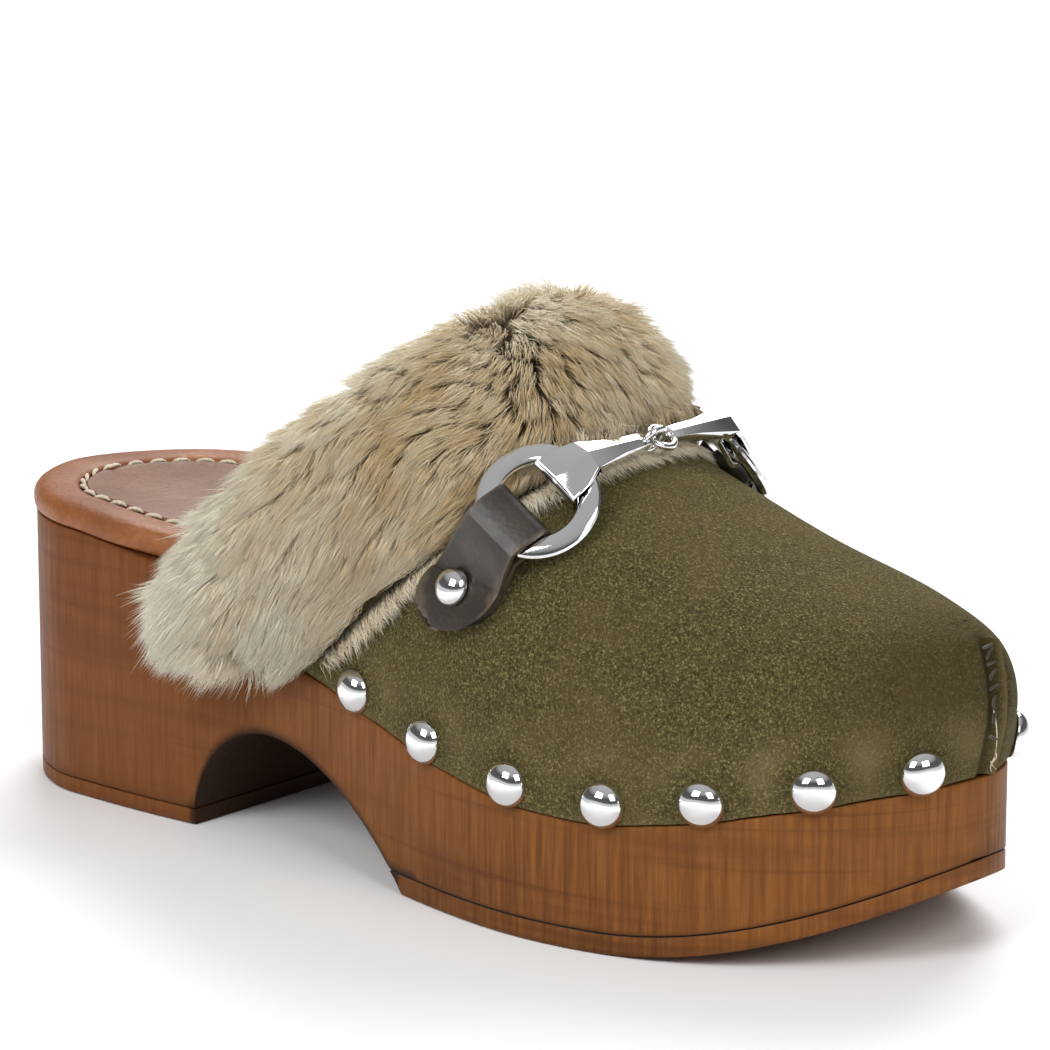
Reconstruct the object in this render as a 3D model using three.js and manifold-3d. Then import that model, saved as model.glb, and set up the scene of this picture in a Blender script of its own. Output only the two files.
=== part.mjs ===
// A right-foot wooden clog: a block-heeled wooden sole with rubber treads, a padded leather insole,
// a suede upper nailed into a rebate round the sole, a fur collar, and a snaffle-bit ornament.
// Millimetres, +Z up. The origin is the centre of the heel's rounded end, on the ground.
// +X runs to the toe, +Y to the inner side of the foot.
import * as THREE from "three";
import { mergeVertices } from "three/addons/utils/BufferGeometryUtils.js";
import Module from "manifold-3d";

const wasm = await Module();
wasm.setup();

// ---------------------------------------------------------------- driving dimensions
const gap = 0.3; // between pieces that touch
const placeFall = 2.36; // most that the footbed falls from one place of the outline to the next
const placeLength = 5.66; // greatest length between places of the outline along the toe
const shellRow = 11.8; // length of the upper for each of its rows
const puffRow = 4.4; // the same for the toe puff

// plan of the sole
const heelBack = 30.5; // heel centre to the back of the heel
const heelHalf = 32.2;
const heelRound = 1.7; // exponent of the heel's rounded back
const heelSwell = 1; // the heel is widest a little in front of its centre
const waistReach = 52; // heel centre to the narrowest place
const toeReach = 211.4; // heel centre to the toe tip
const tipOffset = 5; // the tip lies towards the big toe
const outer = { side: -1, waist: 31.8, ball: 47, ballReach: 138, round: 1.88, nailShift: -3, nailPitch: 1 };
const inner = { side: 1, waist: 30.2, ball: 44.6, ballReach: 144, round: 1.84, nailShift: 1, nailPitch: 0.94 };

// heights of the sole
const treadThickness = 4;
const heelPiece = 3.2;
const heelBreast = 36; // front of the heel block at the ground
const archPeak = 57;
const archHeight = 22.7;
const archEnd = 102; // back of the forefoot at the ground
const springStart = 154; // where the sole starts to rise to the toe
const toeSpring = 14.8;
const heelHeight = 58; // top of the wood at the heel
const shankHeight = 49.7; // top of the wood at shankReach
const shankReach = 56;
const ballHeight = 34.5;
const ballLine = 146;
const toeHeight = 44;

// the upper and how it is let into the sole
const suede = 1.8;
const stiffener = 1;
const lining = 1.2;
const lapHeight = 9; // how far the upper reaches down the side of the sole
const lapStart = 48;
const instepReach = 122; // back edge of the upper on the instep
const instepHeight = 92;
const vampMiddleReach = 160;
const vampMiddleHeight = 75;
const toeBoxReach = 188;
const toeBoxHeight = 67.5;
const toeWallHeight = 62;
const toeBulge = 2.2; // the toe of the upper swells out over the sole
const toeBulgeReach = 150;
const sideEndReach = 59; // back edge of the upper at the sole
const instepBoxiness = 2.15; // exponents of the upper's arched section
const toeBoxiness = 2.7;
const stiffenerReach = 172;

// fur collar
const collarSeam = 6.5; // seam of the collar in front of the upper's back edge
const collarRise = 36;
const collarPuff = 9.5;
const collarPuffLoss = 0.3; // the collar is thinner over the instep by this share
const collarInside = 7;
const threadRadius = 0.45;

// insole
const foamThickness = 3;
const sockThickness = 1.2;
const rimWidth = 10.5;
const rimHeight = 5.6;
const rimProud = 0.6; // the rolled rim stands out over the wood at the heel

// fasteners
const studRadius = 4.7;
const studDome = 3.5;
const nailRadius = 0.9;
const nailLength = 13;
const studAboveEdge = 3.9;
const studRow = [20.5, 41, 62, 82, 104, 128.5, 153, 181]; // along the edge from the toe tip
const lapGap = 0.6; // between the upper and the inner wall of its rebate
const rivetRadius = 3.8;
const rivetDome = 2.8;
const rivetShank = 1.1;
const burrRadius = 3.2;
const burrThickness = 0.8;
const burrStandOff = 0.9;

// snaffle bit
const bitReach = 132.5; // where the bit crosses the ridge of the instep
const bitSteepness = 1.5;
const ringRadius = 12.3;
const ringBand = 4.3;
const ringThickness = 2;
const ringAcross = 26.5; // from the ridge to where the ring's middle lies over the upper
const ringStandOff = 5.1;
const hookReachIn = 5.11; // from the ring's middle to the hook's inner wall
const barNeck = 4.6;
const barThickness = 1;
const barPlay = 0.8;
const eyeRadius = 2.8;
const eyeWire = 0.8;
const eyeStandOff = 4.3;
const linkOverlap = 1.3; // each eye's middle lies this far from the ridge
const foldReach = 3.794; // from the ring's middle to the fold of the tab
const tabRound = 8.8;
const tabLeather = 1.3;
const tabPlay = 0.5;
const tabRun = 9.4; // from the ring's outer edge to the rivet
const tabLift = 0.6; // between the tab and the upper

// ---------------------------------------------------------------- small helpers
const mix = (a, b, t) => a + (b - a) * t;
const clamp = (t) => Math.min(1, Math.max(0, t));
const ease = (t) => clamp(t) ** 2 * (3 - 2 * clamp(t));
const vec = (x, y, z) => new THREE.Vector3(x, y, z);

// A smooth height curve through [x, z] points.
function through(points) {
  const slope = points.map((p, i) => {
    const a = points[Math.max(0, i - 1)];
    const b = points[Math.min(points.length - 1, i + 1)];
    return (b[1] - a[1]) / (b[0] - a[0]);
  });
  return (x) => {
    let i = points.findIndex((p) => p[0] > x) - 1;
    if (i < -1) i = points.length - 2;
    if (i === -1) return points[0][1] + slope[0] * (x - points[0][0]);
    const [x0, z0] = points[i];
    const [x1, z1] = points[i + 1];
    if (x > x1) return z1 + slope[i + 1] * (x - x1);
    const h = x1 - x0;
    const t = (x - x0) / h;
    return (
      z0 * (1 + 2 * t) * (1 - t) ** 2 +
      slope[i] * h * t * (1 - t) ** 2 +
      z1 * t * t * (3 - 2 * t) +
      slope[i + 1] * h * t * t * (t - 1)
    );
  };
}

// A closed triangle mesh as a manifold-3d solid, turned outward if it came inside out.
function solid(geometry, matrix = new THREE.Matrix4()) {
  const plain = geometry.index ? geometry.toNonIndexed() : geometry;
  const bare = new THREE.BufferGeometry().setAttribute("position", plain.getAttribute("position").clone());
  bare.applyMatrix4(matrix);
  const merged = mergeVertices(bare, 1e-4);
  const build = (flip) => {
    const triangles = [];
    for (let i = 0; i < merged.index.count; i += 3) {
      const [a, b, c] = [0, 1, 2].map((k) => merged.index.getX(i + k));
      if (a !== b && b !== c && c !== a) triangles.push(...(flip ? [a, c, b] : [a, b, c]));
    }
    return new wasm.Manifold(
      new wasm.Mesh({
        numProp: 3,
        vertProperties: new Float32Array(merged.attributes.position.array),
        triVerts: new Uint32Array(triangles),
      }),
    );
  };
  const body = build(false);
  return body.volume() > 0 ? body : build(true);
}

function geometryOf(body) {
  const mesh = body.getMesh();
  const geometry = new THREE.BufferGeometry();
  geometry.setAttribute("position", new THREE.BufferAttribute(new Float32Array(mesh.vertProperties), 3));
  geometry.setIndex(new THREE.BufferAttribute(new Uint32Array(mesh.triVerts), 1));
  geometry.computeVertexNormals();
  return geometry;
}

// A solid whose skin runs round each section in turn. Sections are rings of points, and
// the two ends are closed unless the sections themselves form a loop.
function loft(sections, loop = false) {
  const across = sections[0].length;
  const position = sections.flat().flatMap((p) => [p.x, p.y, p.z]);
  const index = [];
  const rows = loop ? sections.length : sections.length - 1;
  for (let i = 0; i < rows; i++) {
    const next = (i + 1) % sections.length;
    for (let j = 0; j < across; j++) {
      const k = (j + 1) % across;
      const a = i * across + j;
      const b = i * across + k;
      const c = next * across + k;
      const d = next * across + j;
      index.push(a, b, c, a, c, d);
    }
  }
  if (!loop) {
    for (const [row, turn] of [[0, true], [sections.length - 1, false]]) {
      for (const [a, b, c] of capOf(sections[row])) {
        const [p, q, r] = [a, b, c].map((n) => n + row * across);
        index.push(...(turn ? [p, r, q] : [p, q, r]));
      }
    }
  }
  const geometry = new THREE.BufferGeometry();
  geometry.setAttribute("position", new THREE.Float32BufferAttribute(position, 3));
  geometry.setIndex(index);
  return solid(geometry);
}

// Triangles that close a ring of points, laid flat in the ring's own plane.
function capOf(ring) {
  const centre = ring.reduce((s, p) => s.add(p), vec(0, 0, 0)).divideScalar(ring.length);
  const normal = vec(0, 0, 0);
  ring.forEach((p, i) => {
    const q = ring[(i + 1) % ring.length];
    normal.add(p.clone().sub(centre).cross(q.clone().sub(centre)));
  });
  normal.normalize();
  const right = ring[0].clone().sub(centre).projectOnPlane(normal).normalize();
  const up = normal.clone().cross(right);
  const flat = ring.map((p) => {
    const d = p.clone().sub(centre);
    return new THREE.Vector2(d.dot(right), d.dot(up));
  });
  return THREE.ShapeUtils.triangulateShape(flat, []);
}

// A prism between two heights that vary along X, right across the sole.
function profilePrism(lower, upper) {
  const shape = new THREE.Shape([...lower, ...upper.slice().reverse()].map((p) => new THREE.Vector2(...p)));
  const half = 90;
  const geometry = new THREE.ExtrudeGeometry(shape, { depth: 2 * half, bevelEnabled: false });
  geometry.rotateX(Math.PI / 2).translate(0, half, 0);
  return solid(geometry);
}

// Heights f(x) as points from one station to another.
function along(from, to, steps, f) {
  return Array.from({ length: steps + 1 }, (_, i) => {
    const x = mix(from, to, i / steps);
    return [x, f(x)];
  });
}

// A frame from an origin, a forward axis and an up axis.
function frameAt(origin, forward, up) {
  const z = up.clone().normalize();
  const x = forward.clone().projectOnPlane(z).normalize();
  const y = z.clone().cross(x);
  return new THREE.Matrix4().makeBasis(x, y, z).setPosition(origin);
}

// ---------------------------------------------------------------- plan and heights of the sole
// Where the side of the sole lies at x, made smaller all round by an inset.
function sideY(x, side, inset = 0) {
  if (x < 0) {
    const back = heelBack - inset;
    return side.side * (heelHalf - inset) * Math.max(0, 1 - (-x / back) ** heelRound) ** (1 / heelRound);
  }
  if (x < side.ballReach) {
    const swell = heelSwell * Math.sin(Math.PI * clamp(x / waistReach));
    const toWaist = mix(heelHalf, side.waist, ease(x / waistReach)) + swell;
    const toBall = (side.ball - side.waist) * ease((x - waistReach) / (side.ballReach - waistReach));
    return side.side * (toWaist + toBall - inset);
  }
  const share = clamp((x - side.ballReach) / (toeReach - inset - side.ballReach));
  const reach = side.ball - side.side * tipOffset - inset;
  return tipOffset + side.side * reach * (1 - share ** side.round) ** (1 / side.round);
}

// A point of the plan edge. The place u runs from 0 at the back of the heel to 3 at the toe tip.
function edgePoint(side, u, inset = 0) {
  const turn = Math.PI / 2;
  let x = mix(0, side.ballReach, u - 1);
  if (u < 1) x = -(heelBack - inset) * Math.cos(u * turn);
  if (u > 2) x = mix(side.ballReach, toeReach - inset, Math.sin((u - 2) * turn));
  return new THREE.Vector2(x, sideY(x, side, inset));
}

function edgePlaces([heel, body, toe]) {
  return [
    ...Array.from({ length: heel }, (_, i) => i / heel),
    ...Array.from({ length: body }, (_, i) => 1 + i / body),
    ...Array.from({ length: toe + 1 }, (_, i) => 2 + i / toe),
  ];
}

// The plan outline from the back of the heel, along the outer side to the tip and back.
// A steeper footbed and a longer toe are drawn with more places.
const planDetail = [
  7,
  Math.ceil((heelHeight - ballHeight) / placeFall),
  Math.ceil((toeReach - outer.ballReach) / placeLength),
];
const planPlaces = [
  ...edgePlaces(planDetail).map((u) => [outer, u]),
  ...edgePlaces(planDetail)
    .slice(1, -1)
    .reverse()
    .map((u) => [inner, u]),
];
const outline = (inset = 0) => planPlaces.map(([side, u]) => edgePoint(side, u, inset));

const footbed = through([
  [-heelBack, heelHeight + 0.4],
  [5, heelHeight - 0.4],
  [shankReach, shankHeight],
  [ballLine, ballHeight],
  [toeReach, toeHeight],
]);
const springRate = toeSpring / (toeReach - springStart) ** 2;
const underside = (x) => springRate * Math.max(0, x - springStart) ** 2;
const edgeHeight = (x) => footbed(x) - lapHeight;

function planPrism(points, low = -5, high = 140) {
  const geometry = new THREE.ExtrudeGeometry(new THREE.Shape(points), { depth: high - low, bevelEnabled: false });
  return solid(geometry.translate(0, 0, low));
}

// The arch between heel and forefoot, as points from the heel breast to the forefoot.
function archPoints(steps = 9) {
  const rise = new THREE.CubicBezierCurve(
    new THREE.Vector2(heelBreast, 0),
    new THREE.Vector2(heelBreast + 1.5, 0.62 * archHeight),
    new THREE.Vector2(mix(heelBreast, archPeak, 0.43), archHeight),
    new THREE.Vector2(archPeak, archHeight),
  );
  const fall = new THREE.CubicBezierCurve(
    new THREE.Vector2(archPeak, archHeight),
    new THREE.Vector2(mix(archPeak, archEnd, 0.33), archHeight),
    new THREE.Vector2(mix(archPeak, archEnd, 0.78), 0.49 * archHeight),
    new THREE.Vector2(archEnd, 0),
  );
  return [...rise.getPoints(steps), ...fall.getPoints(steps).slice(1)].map((p) => [p.x, p.y]);
}

// ---------------------------------------------------------------- the upper's surface
const upperDepth = suede + gap + stiffener + gap + lining;
const ridge = through([
  [sideEndReach, instepHeight + 22],
  [instepReach, instepHeight],
  [vampMiddleReach, vampMiddleHeight],
  [toeBoxReach, toeBoxHeight],
  [toeReach, toeWallHeight],
]);

const boxiness = (x) => mix(instepBoxiness, toeBoxiness, ease((x - instepReach) / (toeBoxReach - instepReach)));

// How far the toe of the upper swells out at a share of its height.
const bulge = (x, share) =>
  toeBulge * ease((x - toeBulgeReach) / (toeBoxReach - toeBulgeReach)) * 4 * share * (1 - share);

// How far in from the sole's edge the upper lies at a depth below its outside.
function upperInset(x, turn, depth) {
  return depth - bulge(x, Math.max(0, Math.sin(turn)) ** (2 / boxiness(x)));
}

// A point of the upper: x along the foot, turn from 0 at the outer edge to PI at the inner one,
// and depth below the outside face.
function upperPoint(x, turn, depth = 0) {
  const inset = upperInset(x, turn, depth);
  const at = Math.min(x, toeReach - inset);
  const yOuter = sideY(at, outer, inset);
  const yInner = sideY(at, inner, inset);
  const middle = (yOuter + yInner) / 2;
  const half = Math.max(0, (yInner - yOuter) / 2);
  const c = Math.cos(turn);
  const s = Math.max(0, Math.sin(turn));
  const low = edgeHeight(at) + gap;
  const high = ridge(at) - depth;
  return vec(
    at,
    middle - half * Math.sign(c) * Math.abs(c) ** (2 / boxiness(at)),
    low + (high - low) * s ** (2 / boxiness(at)),
  );
}

function upperNormal(x, turn, depth = 0) {
  const e = 0.5;
  const t = 0.02;
  const dx = upperPoint(x + e, turn, depth).sub(upperPoint(x - e, turn, depth));
  const dt = upperPoint(x, turn + t, depth).sub(upperPoint(x, turn - t, depth));
  return dx.cross(dt).normalize().negate();
}

// The upper is cut off by a sloping plane at the throat. Larger ahead moves the cut to the toe.
const throatSlope = (instepHeight - edgeHeight(sideEndReach)) / (instepReach - sideEndReach);
function throatX(turn, ahead = 0) {
  let low = sideEndReach - 20;
  let high = toeReach;
  for (let i = 0; i < 40; i++) {
    const x = (low + high) / 2;
    const p = upperPoint(x, turn);
    const plane = edgeHeight(sideEndReach) + throatSlope * (x - sideEndReach - ahead * Math.hypot(1, 1 / throatSlope));
    if (p.z > plane) low = x;
    else high = x;
  }
  return (low + high) / 2;
}

// A closed shell of the upper between two depths, from the throat, or from a station, to the toe.
function upperShell(top, bottom, { across = 22, from = null, ahead = 0 } = {}) {
  const steps = Math.ceil((toeReach - (from ?? 0)) / (from ? puffRow : shellRow));
  const turns = Array.from({ length: across + 1 }, (_, j) => {
    const t = j / across;
    return Math.PI * mix(t, 0.5 - 0.5 * Math.cos(Math.PI * t), 0.35);
  });
  const skin = (depth) =>
    Array.from({ length: steps + 1 }, (_, i) =>
      turns.map((turn) => {
        const start = from ?? throatX(turn, ahead);
        const share = Math.sin((i / steps) * (Math.PI / 2));
        return upperPoint(mix(start, toeReach - upperInset(toeReach, turn, depth), share), turn, depth);
      }),
    );
  const outside = skin(top);
  const inside = skin(bottom);
  const position = [];
  const index = [];
  const id = (face, i, j) => (face * (steps + 1) + i) * (across + 1) + j;
  for (const p of [...outside.flat(), ...inside.flat()]) position.push(p.x, p.y, p.z);
  const quad = (a, b, c, d) => index.push(a, b, c, a, c, d);
  for (let i = 0; i < steps; i++) {
    for (let j = 0; j < across; j++) {
      quad(id(0, i, j), id(0, i + 1, j), id(0, i + 1, j + 1), id(0, i, j + 1));
      quad(id(1, i, j), id(1, i, j + 1), id(1, i + 1, j + 1), id(1, i + 1, j));
    }
    quad(id(0, i, 0), id(1, i, 0), id(1, i + 1, 0), id(0, i + 1, 0));
    quad(id(0, i, across), id(0, i + 1, across), id(1, i + 1, across), id(1, i, across));
  }
  for (let j = 0; j < across; j++) quad(id(0, 0, j), id(0, 0, j + 1), id(1, 0, j + 1), id(1, 0, j));
  const geometry = new THREE.BufferGeometry();
  geometry.setAttribute("position", new THREE.Float32BufferAttribute(position, 3));
  geometry.setIndex(index);
  return solid(geometry);
}

// ---------------------------------------------------------------- where the nails go
// Places along the edge of the sole, by distance from the toe tip.
function edgeWalk(side) {
  const points = edgePlaces([9, 60, 60])
    .map((u) => edgePoint(side, u))
    .reverse();
  return (distance) => {
    let left = distance;
    for (let i = 0; i + 1 < points.length; i++) {
      const step = points[i].distanceTo(points[i + 1]);
      if (left <= step) {
        const at = points[i].clone().lerp(points[i + 1], left / step);
        const run = points[i + 1].clone().sub(points[i]).normalize();
        return { at, out: new THREE.Vector2(run.y, -run.x).multiplyScalar(side.side) };
      }
      left -= step;
    }
    throw new Error("a nail lies past the heel");
  };
}

const insideUpper = (p) => {
  if (p.x >= toeReach) return false;
  const middle = (sideY(p.x, outer) + sideY(p.x, inner)) / 2;
  const half = (sideY(p.x, inner) - sideY(p.x, outer)) / 2;
  const across = Math.abs(p.y - middle) / half;
  if (across >= 1) return false;
  const low = edgeHeight(p.x) + gap;
  const power = boxiness(p.x);
  return p.z < low + (ridge(p.x) - low) * (1 - across ** power) ** (1 / power);
};

// How far the upper stands out past a plane across a frame's Z axis, within a radius of it.
function standsOut(frame, radius) {
  let most = 0;
  for (let i = 0; i < 12; i++) {
    const turn = (Math.PI * i) / 6;
    const at = (height) => vec(radius * Math.cos(turn), radius * Math.sin(turn), height).applyMatrix4(frame);
    let height = 0;
    while (height < radius && insideUpper(at(height))) height += 0.01;
    most = Math.max(most, height);
  }
  return most;
}

const nailFrames = [outer, inner].flatMap((side) => {
  const walk = edgeWalk(side);
  return studRow.map((distance) => {
    const { at, out } = walk((distance + side.nailShift) * side.nailPitch);
    const low = edgeHeight(at.x) + gap;
    const share = studAboveEdge / (ridge(at.x) - low);
    const swell = bulge(at.x, share);
    const lean = (swell - bulge(at.x, share * 0.9)) / (0.1 * studAboveEdge);
    const seat = vec(at.x + out.x * swell, at.y + out.y * swell, low + studAboveEdge);
    const frame = frameAt(seat, vec(0, 0, 1), vec(out.x, out.y, -lean));
    // A head that spans a hollow of the upper is held off by its rim.
    return frame.multiply(new THREE.Matrix4().setPosition(0, 0, standsOut(frame, studRadius)));
  });
});

// A cylinder along a frame's Z axis, from one height to another.
function rod(frame, radius, from, to, sides = 10) {
  const geometry = new THREE.CylinderGeometry(radius, radius, to - from, sides);
  geometry.rotateX(Math.PI / 2).translate(0, 0, (from + to) / 2);
  return solid(geometry, frame);
}

const nailHoles = nailFrames.map((frame) => rod(frame, nailRadius + gap, -nailLength - gap, 8, 6));

// ---------------------------------------------------------------- sole
const lowest = -5;
const far = 20; // cutting shapes reach this far past the sole
const footprint = planPrism(outline());
const archCut = profilePrism([[heelBreast, lowest], [archEnd, lowest]], archPoints().slice(1, -1));
const bandOf = (from, to, low, high) => profilePrism(along(from, to, 24, low), along(from, to, 24, high));
const sole = footprint
  .intersect(bandOf(-heelBack - far, toeReach + far, underside, footbed))
  .subtract(archCut);
const heelPieceBand = bandOf(-heelBack - far, archPeak, () => lowest, () => heelPiece);
const treadBand = bandOf(archPeak, toeReach + far, () => lowest, (x) => underside(x) + treadThickness);
const heelPieceRoom = bandOf(-heelBack - far, archPeak, () => lowest, () => heelPiece + gap);
const treadRoom = bandOf(archPeak, toeReach + far, () => lowest, (x) => underside(x) + treadThickness + gap);
const lapRoom = bandOf(lapStart, toeReach + far, edgeHeight, () => footbed(0) + far).subtract(
  planPrism(outline(upperDepth + lapGap)),
);

const parts = {};
parts.heel_top_piece = sole.intersect(heelPieceBand);
parts.forefoot_tread = sole.intersect(treadBand);
parts.wood_sole = [heelPieceRoom, treadRoom, lapRoom, ...nailHoles].reduce((a, b) => a.subtract(b), sole);

// ---------------------------------------------------------------- insole
const channel = 2 * (threadRadius + gap);
const underUpper = upperDepth + lapGap + 2 * gap;
const insoleInset = (x) => mix(-rimProud, underUpper, ease((x - 10) / (lapStart - 14)));
const insolePoint = (side, u, inset) => {
  const plain = edgePoint(side, u, inset);
  return edgePoint(side, u, inset + insoleInset(plain.x));
};
const insoleOutline = (inset) => planPlaces.map(([side, u]) => insolePoint(side, u, inset));
const insoleLayer = (inset, low, high) =>
  planPrism(insoleOutline(inset)).intersect(
    bandOf(-heelBack - far, toeReach + far, (x) => footbed(x) + low, (x) => footbed(x) + high),
  );
const coverLow = gap + foamThickness + gap;
const coverHigh = coverLow + sockThickness;

// The rim is a rolled band, given as inset and height above the wood.
const rimSection = [
  [1, gap],
  [0.1, 1.4],
  [0, 3.2],
  [0.8, 4.8],
  [2.6, rimHeight],
  [6, rimHeight],
  [rimWidth - 0.8, rimHeight - 0.5],
  [rimWidth, rimHeight - 1.5],
  [rimWidth, gap],
];
const ringSolid = (section) =>
  loft(
    planPlaces.map(([side, u]) =>
      section.map(([inset, height]) => {
        const p = insolePoint(side, u, inset);
        return vec(p.x, p.y, footbed(p.x) + height);
      }),
    ),
    true,
  );
const circle = (x, y, radius, sides) =>
  Array.from({ length: sides }, (_, i) => {
    const turn = (2 * Math.PI * i) / sides;
    return [x + radius * Math.cos(turn), y + radius * Math.sin(turn)];
  });
const insoleEdge = rimWidth + channel;
parts.insole_rim = ringSolid(rimSection);
parts.insole_padding = insoleLayer(insoleEdge, gap, gap + foamThickness);
parts.insole_cover = insoleLayer(insoleEdge, coverLow, coverHigh);
parts.insole_stitching = ringSolid(circle(rimWidth + channel / 2, coverHigh, threadRadius, 5));

// ---------------------------------------------------------------- snaffle bit, in its own plane
// The bit lies in one plane across the instep. Its frame has X forward, Y towards one side of the
// foot and Z out of the instep, starting on the ridge.
const bitMiddle = (sideY(bitReach, outer) + sideY(bitReach, inner)) / 2;
const bitOrigin = vec(bitReach, bitMiddle, ridge(bitReach));
const bitForwards = vec(bitSteepness, 0, -1).normalize();
const bitOutwards = vec(1, 0, bitSteepness).normalize();
const bitFrame = (side) =>
  new THREE.Matrix4().makeBasis(bitForwards, vec(0, side.side, 0), bitOutwards).setPosition(bitOrigin);

// How high the upper stands at a place forward of the bit's plane and across from the ridge.
function upperHeight(frame, forward, across) {
  let low = -80;
  let high = 20;
  for (let i = 0; i < 40; i++) {
    const z = (low + high) / 2;
    if (insideUpper(vec(forward, across, z).applyMatrix4(frame))) low = z;
    else high = z;
  }
  return low;
}

// The upper's curve in the bit's plane.
function instepSection(side, forward = 0) {
  const frame = bitFrame(side);
  const points = Array.from({ length: 85 }, (_, i) => new THREE.Vector2(i / 2, upperHeight(frame, forward, i / 2)));
  // A point beside the curve: distance along it from a starting place, and height above it.
  return (start, distance, height) => {
    const tangent = (i) => points[Math.min(84, i + 1)].clone().sub(points[Math.max(0, i - 1)]).normalize();
    let i = Math.round(start * 2);
    let left = distance;
    while (i + 1 < 84 && left > points[i].distanceTo(points[i + 1])) {
      left -= points[i].distanceTo(points[i + 1]);
      i++;
    }
    const run = tangent(i);
    const at = points[i].clone().addScaledVector(run, left);
    return { at: at.addScaledVector(new THREE.Vector2(-run.y, run.x), height), run };
  };
}

// A prism of [across, height] points of the bit's plane, reaching from one place forward to another.
function bitPrism(points, from, to, frame) {
  const shape = new THREE.Shape(points.map((p) => new THREE.Vector2(...p)));
  const geometry = new THREE.ExtrudeGeometry(shape, { depth: to - from, bevelEnabled: false });
  geometry.translate(0, 0, from);
  const turn = new THREE.Matrix4().makeBasis(vec(0, 1, 0), vec(0, 0, 1), vec(1, 0, 0));
  return solid(geometry, frame.clone().multiply(turn));
}

const xy = (points) => points.map((p) => [p.x, p.y]);

function lathe(profile, sides, matrix) {
  const geometry = new THREE.LatheGeometry(profile.map((p) => new THREE.Vector2(...p)), sides);
  return solid(geometry.rotateX(Math.PI / 2), matrix);
}

const upperRoom = upperShell(-gap, upperDepth + gap, { ahead: -gap });

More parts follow.
